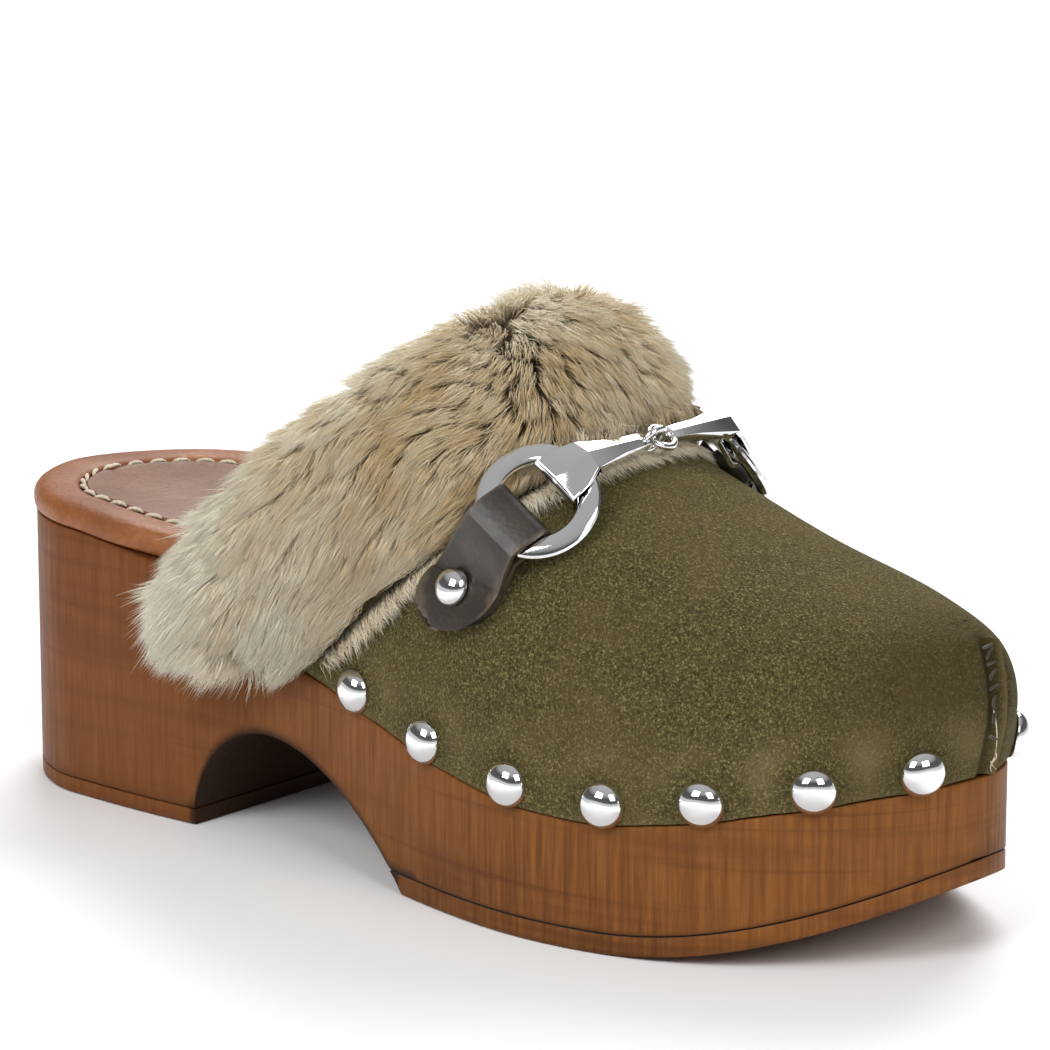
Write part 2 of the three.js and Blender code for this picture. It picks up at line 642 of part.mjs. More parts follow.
const bits = [outer, inner].map((side) => {
  const frame = bitFrame(side);
  const section = instepSection(side);
  const seat = section(ringAcross, 0, ringStandOff);
  const out = seat.run;
  const up = new THREE.Vector2(-out.y, out.x);
  // A point of the ring's own plane, in the bit's plane.
  const ringPoint = (across, height) => seat.at.clone().addScaledVector(out, across).addScaledVector(up, height);
  const ringFrame = frame.clone().multiply(
    new THREE.Matrix4()
      .makeBasis(vec(1, 0, 0), vec(0, out.x, out.y), vec(0, up.x, up.y))
      .setPosition(vec(0, seat.at.x, seat.at.y)),
  );
  const ringInner = ringRadius - ringBand;
  const half = ringThickness / 2;
  const ring = lathe(
    [
      [ringInner, -half],
      [ringRadius - 0.6, -half],
      [ringRadius, -half + 0.6],
      [ringRadius, half - 0.6],
      [ringRadius - 0.6, half],
      [ringInner, half],
      [ringInner, -half],
    ],
    28,
    ringFrame,
  );

  // The tab is folded over the outer part of the ring and lies down on the upper beyond it.
  const rivetAt = ringRadius + tabRun;
  const layer = tabLift + tabLeather;
  const stack = layer + gap + tabLeather;
  const roomHalf = half + tabPlay;
  const foldHalf = roomHalf + tabLeather;
  // The fold is as wide as the ring's hole is there.
  const foldTip = foldReach;
  const tabWidth = 2 * Math.sqrt(ringInner ** 2 - (foldTip + tabPlay) ** 2);
  const bendAt = ringRadius - 0.3;
  // Places along the laid part, from the rivet.
  const laid = [-rivetRadius - 0.5, 0, 0.35 * tabRound, 0.7 * tabRound, 0.92 * tabRound, tabRound];
  const halfWidth = (d) => {
    if (d > 0) return Math.sqrt(tabRound ** 2 - d ** 2);
    return mix(tabWidth / 2, tabRound, ease((d + tabRun) / tabRun));
  };
  // Every place along the strap is a ring of points: across its outer skin and back across the inner.
  const shares = [-1, -0.8, -0.4, 0, 0.4, 0.8, 1];
  const onRing = (across, height) => (share) => {
    const p = ringPoint(across, height);
    return vec((share * tabWidth) / 2, p.x, p.y);
  };
  const onUpper = (d, height) => (share) => {
    const forward = share * halfWidth(d);
    const p = instepSection(side, forward)(ringAcross, rivetAt + d, height).at;
    return vec(forward, p.x, p.y);
  };
  const strap = [
    ...laid.slice().reverse().map((d) => [onUpper(d, tabLift), onUpper(d, layer)]),
    [onRing(bendAt, -foldHalf), onRing(bendAt, -roomHalf)],
    [onRing(foldTip - 0.6, -foldHalf), onRing(foldTip, -roomHalf)],
    [onRing(foldTip - tabLeather, 0.1 - roomHalf), onRing(foldTip, -0.5 * roomHalf)],
    [onRing(foldTip - tabLeather, roomHalf - 0.1), onRing(foldTip, 0.5 * roomHalf)],
    [onRing(foldTip - 0.6, foldHalf), onRing(foldTip, roomHalf)],
    [onRing(bendAt, foldHalf), onRing(bendAt, roomHalf)],
    ...laid.map((d) => [onUpper(d, stack), onUpper(d, layer + gap)]),
  ];
  const rivetSeat = section(ringAcross, rivetAt, 0);
  const forwardSeat = instepSection(side, 1)(ringAcross, rivetAt, 0).at;
  const rivetRun = vec(0, rivetSeat.run.x, rivetSeat.run.y);
  const forwardRun = vec(1, forwardSeat.x - rivetSeat.at.x, forwardSeat.y - rivetSeat.at.y);
  const rivetUp = forwardRun.cross(rivetRun).normalize();
  const rivetFrame = frame.clone().multiply(
    new THREE.Matrix4()
      .makeBasis(rivetRun.clone().cross(rivetUp), rivetRun, rivetUp)
      .setPosition(vec(0, rivetSeat.at.x, rivetSeat.at.y)),
  );
  const flatTab = loft(
    strap.map(([outerSkin, innerSkin]) => [
      ...shares.map(outerSkin),
      ...shares.slice().reverse().map(innerSkin),
    ]),
  );
  const tab = solid(geometryOf(flatTab), frame).subtract(rod(rivetFrame, rivetShank + gap, -10, 10, 8));

  // The bar is folded over the inner part of the ring and ends in an eye.
  const eyeAt = new THREE.Vector2(linkOverlap, eyeStandOff);
  const barRoom = half + barPlay;
  const hookTip = -hookReachIn;
  const barWidth = 2 * Math.sqrt(ringInner ** 2 - (hookReachIn + 0.5 * barPlay) ** 2);
  const hookEnd = -ringRadius - barPlay;
  const neckEnd = eyeAt.x + eyeRadius - eyeWire / 2;
  const neckHalf = 1.2;
  const barSkin = [
    ringPoint(hookTip + barThickness, -barRoom),
    ringPoint(hookTip + barThickness, barRoom),
    ringPoint(hookTip, barRoom + barThickness),
    ringPoint(hookEnd, barRoom + barThickness),
    new THREE.Vector2(neckEnd + 3, eyeAt.y + neckHalf),
    new THREE.Vector2(neckEnd, eyeAt.y + neckHalf * 0.8),
    new THREE.Vector2(neckEnd, eyeAt.y - neckHalf * 0.8),
    new THREE.Vector2(neckEnd + 3, eyeAt.y - neckHalf),
    ringPoint(hookEnd - barThickness, -barRoom),
    ringPoint(hookEnd, -barRoom - barThickness),
    ringPoint(hookTip, -barRoom - barThickness),
  ];
  const barHollow = [
    ringPoint(hookTip, barRoom),
    ringPoint(hookTip, -barRoom),
    ringPoint(hookEnd, -barRoom),
    ringPoint(hookEnd, barRoom),
  ];
  const hookReach = ringPoint(hookTip + barThickness, 0).x;
  const hookStart = ringPoint(hookEnd, 0).x;
  const barHalfPlan = [
    [barWidth / 2, hookReach + 4],
    [barWidth / 2, hookReach - 1],
    [0.36 * barWidth, hookStart],
    [barNeck / 2 + 0.6, mix(hookStart, neckEnd, 0.4)],
    [barNeck / 2 - 0.4, neckEnd - 1],
  ];
  const barPlan = new THREE.Shape(
    [...barHalfPlan, ...barHalfPlan.slice().reverse().map(([x, y]) => [-x, y])].map((p) => new THREE.Vector2(...p)),
  );
  const barPrism = new THREE.ExtrudeGeometry(barPlan, { depth: 60, bevelEnabled: false });
  const eye = new THREE.TorusGeometry(eyeRadius, eyeWire, 6, 16);
  // One eye stands upright and the other lies flat, so that they link.
  if (side === outer) eye.rotateY(Math.PI / 2);
  const eyeFrame = frame.clone().multiply(new THREE.Matrix4().setPosition(0, eyeAt.x, eyeAt.y));
  const bar = bitPrism(xy(barSkin), -barWidth, barWidth, frame)
    .subtract(bitPrism(xy(barHollow), -barWidth - 1, barWidth + 1, frame))
    .intersect(solid(barPrism.translate(0, 0, -30), frame))
    .add(solid(eye, eyeFrame));

  const shankEnd = -upperDepth - burrStandOff - burrThickness - gap;
  const rivet = lathe(
    [
      [0, shankEnd - 0.7],
      [rivetShank + 0.8, shankEnd - 0.7],
      [rivetShank + 0.8, shankEnd],
      [rivetShank, shankEnd],
      [rivetShank, stack + gap],
      [rivetRadius, stack + gap],
      ...[1 / 3, 2 / 3].map((t) => [
        rivetRadius * Math.cos((t * Math.PI) / 2),
        stack + gap + rivetDome * Math.sin((t * Math.PI) / 2),
      ]),
      [0, stack + gap + rivetDome],
    ],
    12,
    rivetFrame,
  );
  const burrTop = -upperDepth - burrStandOff;
  const burr = lathe(
    [
      [rivetShank + gap, burrTop - burrThickness],
      [burrRadius, burrTop - burrThickness],
      [burrRadius, burrTop],
      [rivetShank + gap, burrTop],
      [rivetShank + gap, burrTop - burrThickness],
    ],
    12,
    rivetFrame,
  );
  const ringRoom = new THREE.BoxGeometry(2 * (ringRadius + 1), 2 * (ringRadius + 3), 40);
  return {
    side,
    pieces: { bit_ring: ring, bit_bar: bar, ring_tab: tab, tab_rivet: rivet, rivet_burr: burr },
    hole: rod(rivetFrame, rivetShank + gap, -10, 10, 8),
    room: solid(ringRoom.translate(0, 0, 20 - half - gap - tabPlay), ringFrame),
  };
});
const rivetHoles = bits.map((bit) => bit.hole);

// ---------------------------------------------------------------- upper
const shanks = [...nailHoles, ...rivetHoles];
const pierced = (body) => shanks.reduce((a, b) => a.subtract(b), body);
const liningDepth = suede + gap + stiffener + gap;
parts.vamp = pierced(upperShell(0, suede));
parts.toe_puff = pierced(
  upperShell(suede + gap, suede + gap + stiffener, { across: 18, from: stiffenerReach }),
);
parts.vamp_lining = pierced(upperShell(liningDepth, upperDepth));

// Seam frames: a point on the outside of the upper, backwards along the collar, and outwards.
function seamFrame(turn, ahead, lift) {
  const at = (t) => upperPoint(throatX(t, ahead), t);
  const e = 0.01;
  const a = clamp((turn - e) / Math.PI) * Math.PI;
  const b = clamp((turn + e) / Math.PI) * Math.PI;
  const run = at(b).sub(at(a)).normalize();
  const x = throatX(turn, ahead);
  const held = Math.min(Math.PI - 0.06, Math.max(0.06, turn));
  const out = upperNormal(x, held).projectOnPlane(run).normalize();
  if (out.z < -0.01 || out.y * Math.sign(Math.cos(turn)) > 0.3) out.negate();
  const slope = vec(-throatSlope, 0, 1).normalize();
  const inSurface = run.clone().cross(out);
  if (inSurface.x > 0) inSurface.negate();
  const edgeRun = vec(-1, 0, (edgeHeight(x - 20) - edgeHeight(x)) / 20).normalize();
  const back = inSurface.add(slope).normalize().lerp(edgeRun, (1 - Math.sin(turn)) ** 3).normalize();
  return { at: at(turn).addScaledVector(out, lift), back, out: out.projectOnPlane(back).normalize(), run };
}

// The collar's section, as [backwards, outwards].
const collarSection = [
  [0, 0],
  [0.02, 0.2],
  [0.17, 0.34],
  [0.34, 0.78],
  [0.56, 1],
  [0.8, 0.86],
  [0.97, 0.48],
].map(([b, n]) => [b * collarRise, n * collarPuff]);
const collarLining = [
  [1, 0],
  [0.93, -0.55],
  [0.74, -1],
  [0.5, -0.95],
  [0.33, -0.72],
].map(([b, n]) => [b * collarRise, n * collarInside]);
const collarTurns = Array.from({ length: 25 }, (_, i) => (Math.PI * i) / 24);
const collarRing = collarTurns.map((turn) => {
  const { at, back, out } = seamFrame(turn, collarSeam, gap);
  const fullness = 1 - collarPuffLoss * Math.sin(turn);
  return [...collarSection, ...collarLining].map(([b, n]) =>
    at.clone().addScaledVector(back, b).addScaledVector(out, n * fullness),
  );
});
const soleRoom = planPrism(outline(-gap - rimProud)).intersect(
  bandOf(-heelBack - far, toeReach + far, () => lowest, (x) => footbed(x) + rimHeight + gap),
);
const studRooms = nailFrames.map((frame) => rod(frame, studRadius + 2 * gap, 0, 30, 14));
parts.fur_collar = [upperRoom, soleRoom, ...studRooms, ...bits.map((bit) => bit.room)].reduce(
  (a, b) => a.subtract(b),
  loft(collarRing),
);

// A round thread that follows points just clear of a surface.
function thread(points, sides = 5) {
  const sections = points.map(({ at, run, out }) => {
    const across = run.clone().cross(out).normalize();
    return circle(0, 0, threadRadius, sides).map(([a, b]) =>
      at.clone().addScaledVector(across, a).addScaledVector(out, b),
    );
  });
  return loft(sections);
}
const stitchAhead = collarSeam + 2 * threadRadius + gap;
parts.collar_stitching = thread(
  Array.from({ length: 33 }, (_, i) => seamFrame(mix(0.24, Math.PI - 0.24, i / 32), stitchAhead, threadRadius + gap)),
);
const toeStitchTurns = [0.08, 0.16, 0.27, 0.42, 0.62, 0.85, 1.15, 1.4];
const toeStitchPoints = toeStitchTurns.map((turn) =>
  upperPoint(toeReach + toeBulge, turn).add(vec(gap + threadRadius, 0, 0)),
);
parts.toe_seam_stitching = thread(
  toeStitchPoints.map((at, i) => {
    const next = toeStitchPoints[Math.min(i + 1, toeStitchPoints.length - 1)];
    const run = next.clone().sub(toeStitchPoints[Math.max(i - 1, 0)]).normalize();
    return { at, run, out: vec(1, 0, 0).projectOnPlane(run).normalize() };
  }),
);

// ---------------------------------------------------------------- nails and bit
const studProfile = [
  [0, -nailLength],
  [nailRadius, -nailLength + 2],
  [nailRadius, gap],
  [studRadius, gap],
  ...[0.3, 0.55, 0.8].map((t) => [
    studRadius * Math.cos((t * Math.PI) / 2),
    gap + studDome * Math.sin((t * Math.PI) / 2),
  ]),
  [0, gap + studDome],
];
nailFrames.forEach((frame, i) => {
  const side = i < studRow.length ? "outer" : "inner";
  parts[`${side}_stud_${(i % studRow.length) + 1}`] = lathe(studProfile, 12, frame);
});
for (const bit of bits) {
  const side = bit.side === outer ? "outer" : "inner";
  for (const [name, body] of Object.entries(bit.pieces)) parts[`${side}_${name}`] = body;
}

// ---------------------------------------------------------------- group
const paints = {
  wood: { color: 0x8a3a1c, roughness: 0.5, metalness: 0 },
  rubber: { color: 0x4a2416, roughness: 0.8, metalness: 0 },
  suede: { color: 0x7a6a48, roughness: 0.95, metalness: 0 },
  lining: { color: 0xb9a98a, roughness: 0.9, metalness: 0 },
  fur: { color: 0xb59a78, roughness: 1, metalness: 0 },
  insole: { color: 0xb27a4c, roughness: 0.55, metalness: 0 },
  foam: { color: 0xd8cdb4, roughness: 0.95, metalness: 0 },
  thread: { color: 0xd9cbb0, roughness: 0.85, metalness: 0 },
  tab: { color: 0x3a2218, roughness: 0.45, metalness: 0 },
  chrome: { color: 0xc9ccd0, roughness: 0.15, metalness: 1 },
};
const paintOf = (name) => {
  if (/stud|bit|rivet/.test(name)) return "chrome";
  const rules = {
    wood_sole: "wood",
    heel_top_piece: "rubber",
    forefoot_tread: "rubber",
    insole_padding: "foam",
    insole_cover: "insole",
    insole_rim: "insole",
    vamp: "suede",
    vamp_lining: "lining",
    toe_puff: "lining",
    fur_collar: "fur",
  };
  if (/tab/.test(name)) return "tab";
  return rules[name] ?? "thread";
};

const clog = new THREE.Group();
clog.name = "clog";
for (const [name, body] of Object.entries(parts)) {
  const paint = paintOf(name);
  const mesh = new THREE.Mesh(geometryOf(body), new THREE.MeshStandardMaterial({ ...paints[paint], name: paint }));
  mesh.name = name;
  clog.add(mesh);
}

export default clog;
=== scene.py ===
import math

import bmesh
import bpy
import numpy as np
from mathutils import Matrix, Vector, kdtree


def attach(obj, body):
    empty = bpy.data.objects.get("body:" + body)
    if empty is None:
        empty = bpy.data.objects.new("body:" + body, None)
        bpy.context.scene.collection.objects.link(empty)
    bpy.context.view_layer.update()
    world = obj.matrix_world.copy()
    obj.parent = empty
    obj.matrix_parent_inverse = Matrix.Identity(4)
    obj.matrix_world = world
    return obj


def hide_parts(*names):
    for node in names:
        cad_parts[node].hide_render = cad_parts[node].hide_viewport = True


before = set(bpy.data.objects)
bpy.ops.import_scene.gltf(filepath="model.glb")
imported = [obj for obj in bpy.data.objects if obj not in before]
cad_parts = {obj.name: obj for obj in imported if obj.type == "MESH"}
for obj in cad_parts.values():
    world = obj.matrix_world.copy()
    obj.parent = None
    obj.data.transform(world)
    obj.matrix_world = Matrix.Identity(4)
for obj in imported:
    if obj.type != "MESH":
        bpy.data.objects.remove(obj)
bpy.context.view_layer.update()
mm = 0.001
rng = np.random.default_rng(7)

# the camera stands low in front of the outer side, looking at the middle of the shoe
camera = {
    "azimuth": 40.6, "elevation": 14.6, "distance": 0.9824, "target": (0.091, 0, 0.040), "lens": 163.86
}
framing = {"aimRight": 0.00669554, "aimUp": 0.02646831}


def placeCamera():
    turn, tilt = math.radians(camera["azimuth"]), math.radians(camera["elevation"])
    back = Vector((math.sin(turn) * math.cos(tilt), -math.cos(turn) * math.cos(tilt), math.sin(tilt)))
    right = Vector((math.cos(turn), math.sin(turn), 0))
    up = back.cross(right)
    look = -back + right * framing["aimRight"] + up * framing["aimUp"]
    bpy.ops.object.camera_add(location=Vector(camera["target"]) + back * camera["distance"])
    cam = bpy.context.object
    cam.rotation_euler = look.to_track_quat("-Z", "Y").to_euler()
    cam.data.lens = camera["lens"]
    cam.data.sensor_width = 36
    cam.data.clip_end = 20
    bpy.context.scene.camera = cam


placeCamera()

studio = {
    "floorSize": 8, "floorColour": (0.97, 0.97, 0.97, 1),
    "worldStrength": 0.8,
    # height of the view direction, and how bright the room is there
    "band": [(0.0, 1.0), (0.10, 0.9), (0.2, 0.14), (0.5, 0.12), (0.7, 0.5), (1.0, 0.62)],
    "lamps": [
        # name, place, aim, size, power
        ("keySoftbox", (0.1, -1.35, 1.15), (0.09, 0, 0.05), 0.85, 15),
        ("toeSoftbox", (1.25, -0.35, 0.9), (0.12, 0, 0.05), 0.7, 7),
        ("backSoftbox", (-0.5, 1.1, 1.4), (0.09, 0, 0.04), 1.2, 16),
        ("floorWash", (-0.9, 1.9, 1.6), (-1.0, 1.6, 0.0), 1.8, 40),
    ],
}


def lightStudio():
    bpy.ops.mesh.primitive_plane_add(size=studio["floorSize"], location=(0, 0, -0.0002))
    floor = bpy.context.object
    floor.name = "studioFloor"
    paper = bpy.data.materials.new("floorPaper")
    paper.use_nodes = True
    shader = paper.node_tree.nodes["Principled BSDF"]
    shader.inputs["Base Color"].default_value = studio["floorColour"]
    shader.inputs["Roughness"].default_value = 0.9
    floor.data.materials.append(paper)
    world = bpy.data.worlds.new("studioWorld")
    world.use_nodes = True
    tree = world.node_tree
    tree.nodes["Background"].inputs["Strength"].default_value = studio["worldStrength"]
    # white walls with a dark band above the table, which gives the metal its contrast
    direction = tree.nodes.new("ShaderNodeTexCoord")
    split = tree.nodes.new("ShaderNodeSeparateXYZ")
    ramp = tree.nodes.new("ShaderNodeValToRGB")
    tree.links.new(direction.outputs["Generated"], split.inputs["Vector"])
    tree.links.new(split.outputs["Z"], ramp.inputs["Fac"])
    tree.links.new(ramp.outputs["Color"], tree.nodes["Background"].inputs["Color"])
    stops = ramp.color_ramp.elements
    stops[0].position, stops[0].color = studio["band"][0][0], (*[studio["band"][0][1]] * 3, 1)
    stops[1].position, stops[1].color = studio["band"][-1][0], (*[studio["band"][-1][1]] * 3, 1)
    for place, shade in studio["band"][1:-1]:
        stops.new(place).color = (*[shade] * 3, 1)
    bpy.context.scene.world = world
    bpy.context.scene.view_settings.view_transform = "Standard"
    for name, place, aim, size, power in studio["lamps"]:
        bpy.ops.object.light_add(type="AREA", location=place)
        lamp = bpy.context.object
        lamp.name = name
        lamp.data.size = size
        lamp.data.energy = power
        lamp.rotation_euler = (Vector(aim) - Vector(place)).to_track_quat("-Z", "Y").to_euler()


lightStudio()
print("camera and studio are set")

# the shoe's form, in millimetres: the same values as the solids
heel = {"back": 30.5, "half": 32.2, "round": 1.7, "swell": 1, "piece": 3.2, "breast": 36}
toe = {"reach": 211.4, "tip": 5, "height": 44, "spring": 14.8, "springStart": 154}
outer = {
    "side": -1, "waist": 31.8, "ball": 47, "ballReach": 138, "round": 1.88, "nailShift": -3,
    "nailPitch": 1
}
inner = {
    "side": 1, "waist": 30.2, "ball": 44.6, "ballReach": 144, "round": 1.84, "nailShift": 1,
    "nailPitch": 0.94
}
waistReach = 52
arch = {"peak": 57, "height": 22.7, "end": 102}
tread = {"thickness": 4, "line": 0.12}
lap = {"height": 9, "start": 48}
upper = {
    "suede": 1.8, "lining": 3.45, "depth": 4.6, "gap": 0.3, "instepReach": 122, "sideReach": 59,
    "instepHeight": 92
}
bulgeForm = {"size": 2.2, "start": 150, "full": 188}
nails = [20.5, 41, 62, 82, 104, 128.5, 153, 181]
nailHeight = 3.9


def mix(a, b, t):
    return a + (b - a) * t


def clamp(t, low=0.0, high=1.0):
    return min(high, max(low, t))


def ease(t):
    t = clamp(t)
    return t * t * (3 - 2 * t)


def smoothThrough(points):
    count = len(points)
    slopes = []
    for i in range(count):
        a, b = points[max(0, i - 1)], points[min(count - 1, i + 1)]
        slopes.append((b[1] - a[1]) / (b[0] - a[0]))

    def height(x):
        if x <= points[0][0]:
            return points[0][1] + slopes[0] * (x - points[0][0])
        for i in range(count - 1):
            (x0, z0), (x1, z1) = points[i], points[i + 1]
            if x <= x1:
                h = x1 - x0
                t = (x - x0) / h
                rise = z0 * (1 + 2 * t) * (1 - t) ** 2 + z1 * t * t * (3 - 2 * t)
                return rise + slopes[i] * h * t * (1 - t) ** 2 + slopes[i + 1] * h * t * t * (t - 1)
        return points[-1][1] + slopes[-1] * (x - points[-1][0])

    return height


footbed = smoothThrough(
    [(-heel["back"], 58.4), (5, 57.6), (56, 49.7), (146, 34.5), (toe["reach"], toe["height"])]
)
ridgePoints = [(upper["sideReach"], 114), (upper["instepReach"], upper["instepHeight"]), (160, 75)]
ridge = smoothThrough(ridgePoints + [(bulgeForm["full"], 67.5), (toe["reach"], 62)])
springRate = toe["spring"] / (toe["reach"] - toe["springStart"]) ** 2


def edgeHeight(x):
    return footbed(x) - lap["height"]


def underside(x):
    return springRate * max(0, x - toe["springStart"]) ** 2


def sideY(x, side, inset=0.0):
    if x < 0:
        share = clamp(-x / (heel["back"] - inset))
        return side["side"] * (heel["half"] - inset) * (1 - share ** heel["round"]) ** (1 / heel["round"])
    if x < side["ballReach"]:
        swell = heel["swell"] * math.sin(math.pi * clamp(x / waistReach))
        toWaist = mix(heel["half"], side["waist"], ease(x / waistReach)) + swell
        toBall = (side["ball"] - side["waist"]) * ease(
            (x - waistReach) / (side["ballReach"] - waistReach)
        )
        return side["side"] * (toWaist + toBall - inset)
    share = clamp((x - side["ballReach"]) / (toe["reach"] - inset - side["ballReach"]))
    reach = side["ball"] - side["side"] * toe["tip"] - inset
    return toe["tip"] + side["side"] * reach * (1 - share ** side["round"]) ** (1 / side["round"])


def edgePoint(side, u, inset=0.0):
    if u < 1:
        x = -(heel["back"] - inset) * math.cos(u * math.pi / 2)
    elif u > 2:
        x = mix(side["ballReach"], toe["reach"] - inset, math.sin((u - 2) * math.pi / 2))
    else:
        x = mix(0, side["ballReach"], u - 1)
    return x, sideY(x, side, inset)


def bezier(points, t):
    while len(points) > 1:
        points = [(mix(a[0], b[0], t), mix(a[1], b[1], t)) for a, b in zip(points, points[1:])]
    return points[0]


def archCurve(steps):
    b, p, h, e = heel["breast"], arch["peak"], arch["height"], arch["end"]
    rise = [(b, 0), (b + 1.5, 0.62 * h), (mix(b, p, 0.43), h), (p, h)]
    fall = [(p, h), (mix(p, e, 0.33), h), (mix(p, e, 0.78), 0.49 * h), (e, 0)]
    return [bezier(rise, i / steps) for i in range(steps + 1)] + [
        bezier(fall, i / steps) for i in range(1, steps + 1)
    ]


def bulge(x, share):
    return bulgeForm["size"] * ease(
        (x - bulgeForm["start"]) / (bulgeForm["full"] - bulgeForm["start"])
    ) * 4 * share * (1 - share)


def boxiness(x):
    return mix(2.15, 2.7, ease((x - upper["instepReach"]) / (bulgeForm["full"] - upper["instepReach"])))


def upperInset(x, turn, depth):
    return depth - bulge(x, max(0.0, math.sin(turn)) ** (2 / boxiness(x)))


def upperPoint(x, turn, depth=0.0):
    inset = upperInset(x, turn, depth)
    at = min(x, toe["reach"] - inset)
    yOuter, yInner = sideY(at, outer, inset), sideY(at, inner, inset)
    half = max(0.0, (yInner - yOuter) / 2)
    c, s = math.cos(turn), max(0.0, math.sin(turn))
    power = 2 / boxiness(at)
    low, high = edgeHeight(at) + upper["gap"], ridge(at) - depth
    y = (yOuter + yInner) / 2 - half * math.copysign(abs(c) ** power, c)
    return Vector((at, y, low + (high - low) * s**power))


def upperNormal(x, turn):
    along = upperPoint(x + 0.5, turn) - upperPoint(x - 0.5, turn)
    around = upperPoint(x, turn + 0.02) - upperPoint(x, turn - 0.02)
    return -along.cross(around).normalized()


throatSlope = (upper["instepHeight"] - edgeHeight(upper["sideReach"])) / (
    upper["instepReach"] - upper["sideReach"]
)


def throatX(turn, ahead=0.0):
    low, high = upper["sideReach"] - 20, toe["reach"]
    for _ in range(36):
        x = (low + high) / 2
        start = upper["sideReach"] + ahead * math.hypot(1, 1 / throatSlope)
        if upperPoint(x, turn).z > edgeHeight(upper["sideReach"]) + throatSlope * (x - start):
            low = x
        else:
            high = x
    return (low + high) / 2


def insideUpper(p):
    if p.x >= toe["reach"]:
        return False
    yOuter, yInner = sideY(p.x, outer), sideY(p.x, inner)
    across = abs(p.y - (yOuter + yInner) / 2) / ((yInner - yOuter) / 2)
    if across >= 1:
        return False
    low, power = edgeHeight(p.x) + upper["gap"], boxiness(p.x)
    return p.z < low + (ridge(p.x) - low) * (1 - across**power) ** (1 / power)


def underUpper(p):
    # inside the upper, in front of its open back
    return insideUpper(p) and p.z < edgeHeight(upper["sideReach"]) + throatSlope * (
        p.x - upper["sideReach"]
    )


def edgeWalk(side, distance):
    us = [i / 9 for i in range(9)] + [1 + i / 60 for i in range(60)] + [2 + i / 60 for i in range(61)]
    points = [Vector(edgePoint(side, u)) for u in us][::-1]
    for a, b in zip(points, points[1:]):
        step = (b - a).length
        if distance <= step:
            run = (b - a).normalized()
            return a.lerp(b, distance / step), Vector((run.y, -run.x)) * side["side"]
        distance -= step
    return points[-1], Vector((-1, 0))


def frameAt(origin, forward, up):
    z = up.normalized()
    x = (forward - z * forward.dot(z)).normalized()
    y = z.cross(x)
    return Matrix(
        ((x.x, y.x, z.x, origin.x), (x.y, y.y, z.y, origin.y), (x.z, y.z, z.z, origin.z), (0, 0, 0, 1))
    )


def nailFrames(side):
    frames = []
    for distance in nails:
        at, out = edgeWalk(side, (distance + side["nailShift"]) * side["nailPitch"])
        low = edgeHeight(at.x) + upper["gap"]
        share = nailHeight / (ridge(at.x) - low)
        swell = bulge(at.x, share)
        lean = (swell - bulge(at.x, share * 0.9)) / (nailHeight * 0.1)
        seat = Vector((at.x + out.x * swell, at.y + out.y * swell, low + nailHeight))
        frames.append(frameAt(seat, Vector((0, 0, 1)), Vector((out.x, out.y, -lean))))
    return frames


nailPlaces = {"outer": nailFrames(outer), "inner": nailFrames(inner)}

# mesh helpers


def deselectAll():
    if bpy.context.mode != "OBJECT":
        bpy.ops.object.mode_set(mode="OBJECT")
    bpy.ops.object.select_all(action="DESELECT")


def makeActive(piece):
    deselectAll()
    piece.select_set(True)
    bpy.context.view_layer.objects.active = piece


def tidyMesh(piece, merge=0.00002):
    makeActive(piece)
    bpy.ops.object.mode_set(mode="EDIT")
    bpy.ops.mesh.select_all(action="SELECT")
    bpy.ops.mesh.remove_doubles(threshold=merge)
    bpy.ops.mesh.dissolve_degenerate(threshold=merge / 4)
    bpy.ops.mesh.normals_make_consistent(inside=False)
    bpy.ops.object.mode_set(mode="OBJECT")


def smooth(piece, angle=40):
    makeActive(piece)
    bpy.ops.object.shade_smooth_by_angle(angle=math.radians(angle))


def applyModifier(piece, kind, **settings):
    makeActive(piece)
    modifier = piece.modifiers.new(kind.lower(), kind)
    for key, value in settings.items():
        setattr(modifier, key, value)
    bpy.ops.object.modifier_apply(modifier=modifier.name)


def gridPiece(name, rows):
    # a grid primitive with each row's points put in place, in millimetres
    across, down = len(rows[0]), len(rows)
    deselectAll()
    bpy.ops.mesh.primitive_grid_add(x_subdivisions=across - 1, y_subdivisions=down - 1, size=1)
    piece = bpy.context.object
    piece.name = name
    piece.data.name = name
    spots = np.array([list(p) for row in rows for p in row], float) * mm
    piece.data.vertices.foreach_set("co", spots.ravel())
    piece.data.update()
    return piece


def finishPiece(piece, material, body="clog", replaces=()):
    piece.data.materials.clear()
    piece.data.materials.append(material)
    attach(piece, body)
    if replaces:
        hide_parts(*replaces)
    return piece


def putMesh(name, points, faces):
    mesh = bpy.data.meshes.new(name)
    mesh.from_pydata([list(p) for p in points], [], faces)
    mesh.update()
    piece = bpy.data.objects.new(name, mesh)
    bpy.context.scene.collection.objects.link(piece)
    return piece


def copiesOf(name, pattern, frames):
    # one piece made of many copies of a small mesh, each in its own frame
    points = np.array([v.co[:] for v in pattern.data.vertices])
    faces = [list(p.vertices) for p in pattern.data.polygons]
    allPoints, allFaces = [], []
    for i, spot in enumerate(frames):
        m = np.array(spot)
        allPoints.append(points @ m[:3, :3].T + m[:3, 3])
        allFaces += [[v + i * len(points) for v in face] for face in faces]
    return putMesh(name, np.concatenate(allPoints), allFaces)


def scaled(frameMm):
    m = frameMm.copy()
    m.translation = m.translation * mm
    return m

# procedural materials


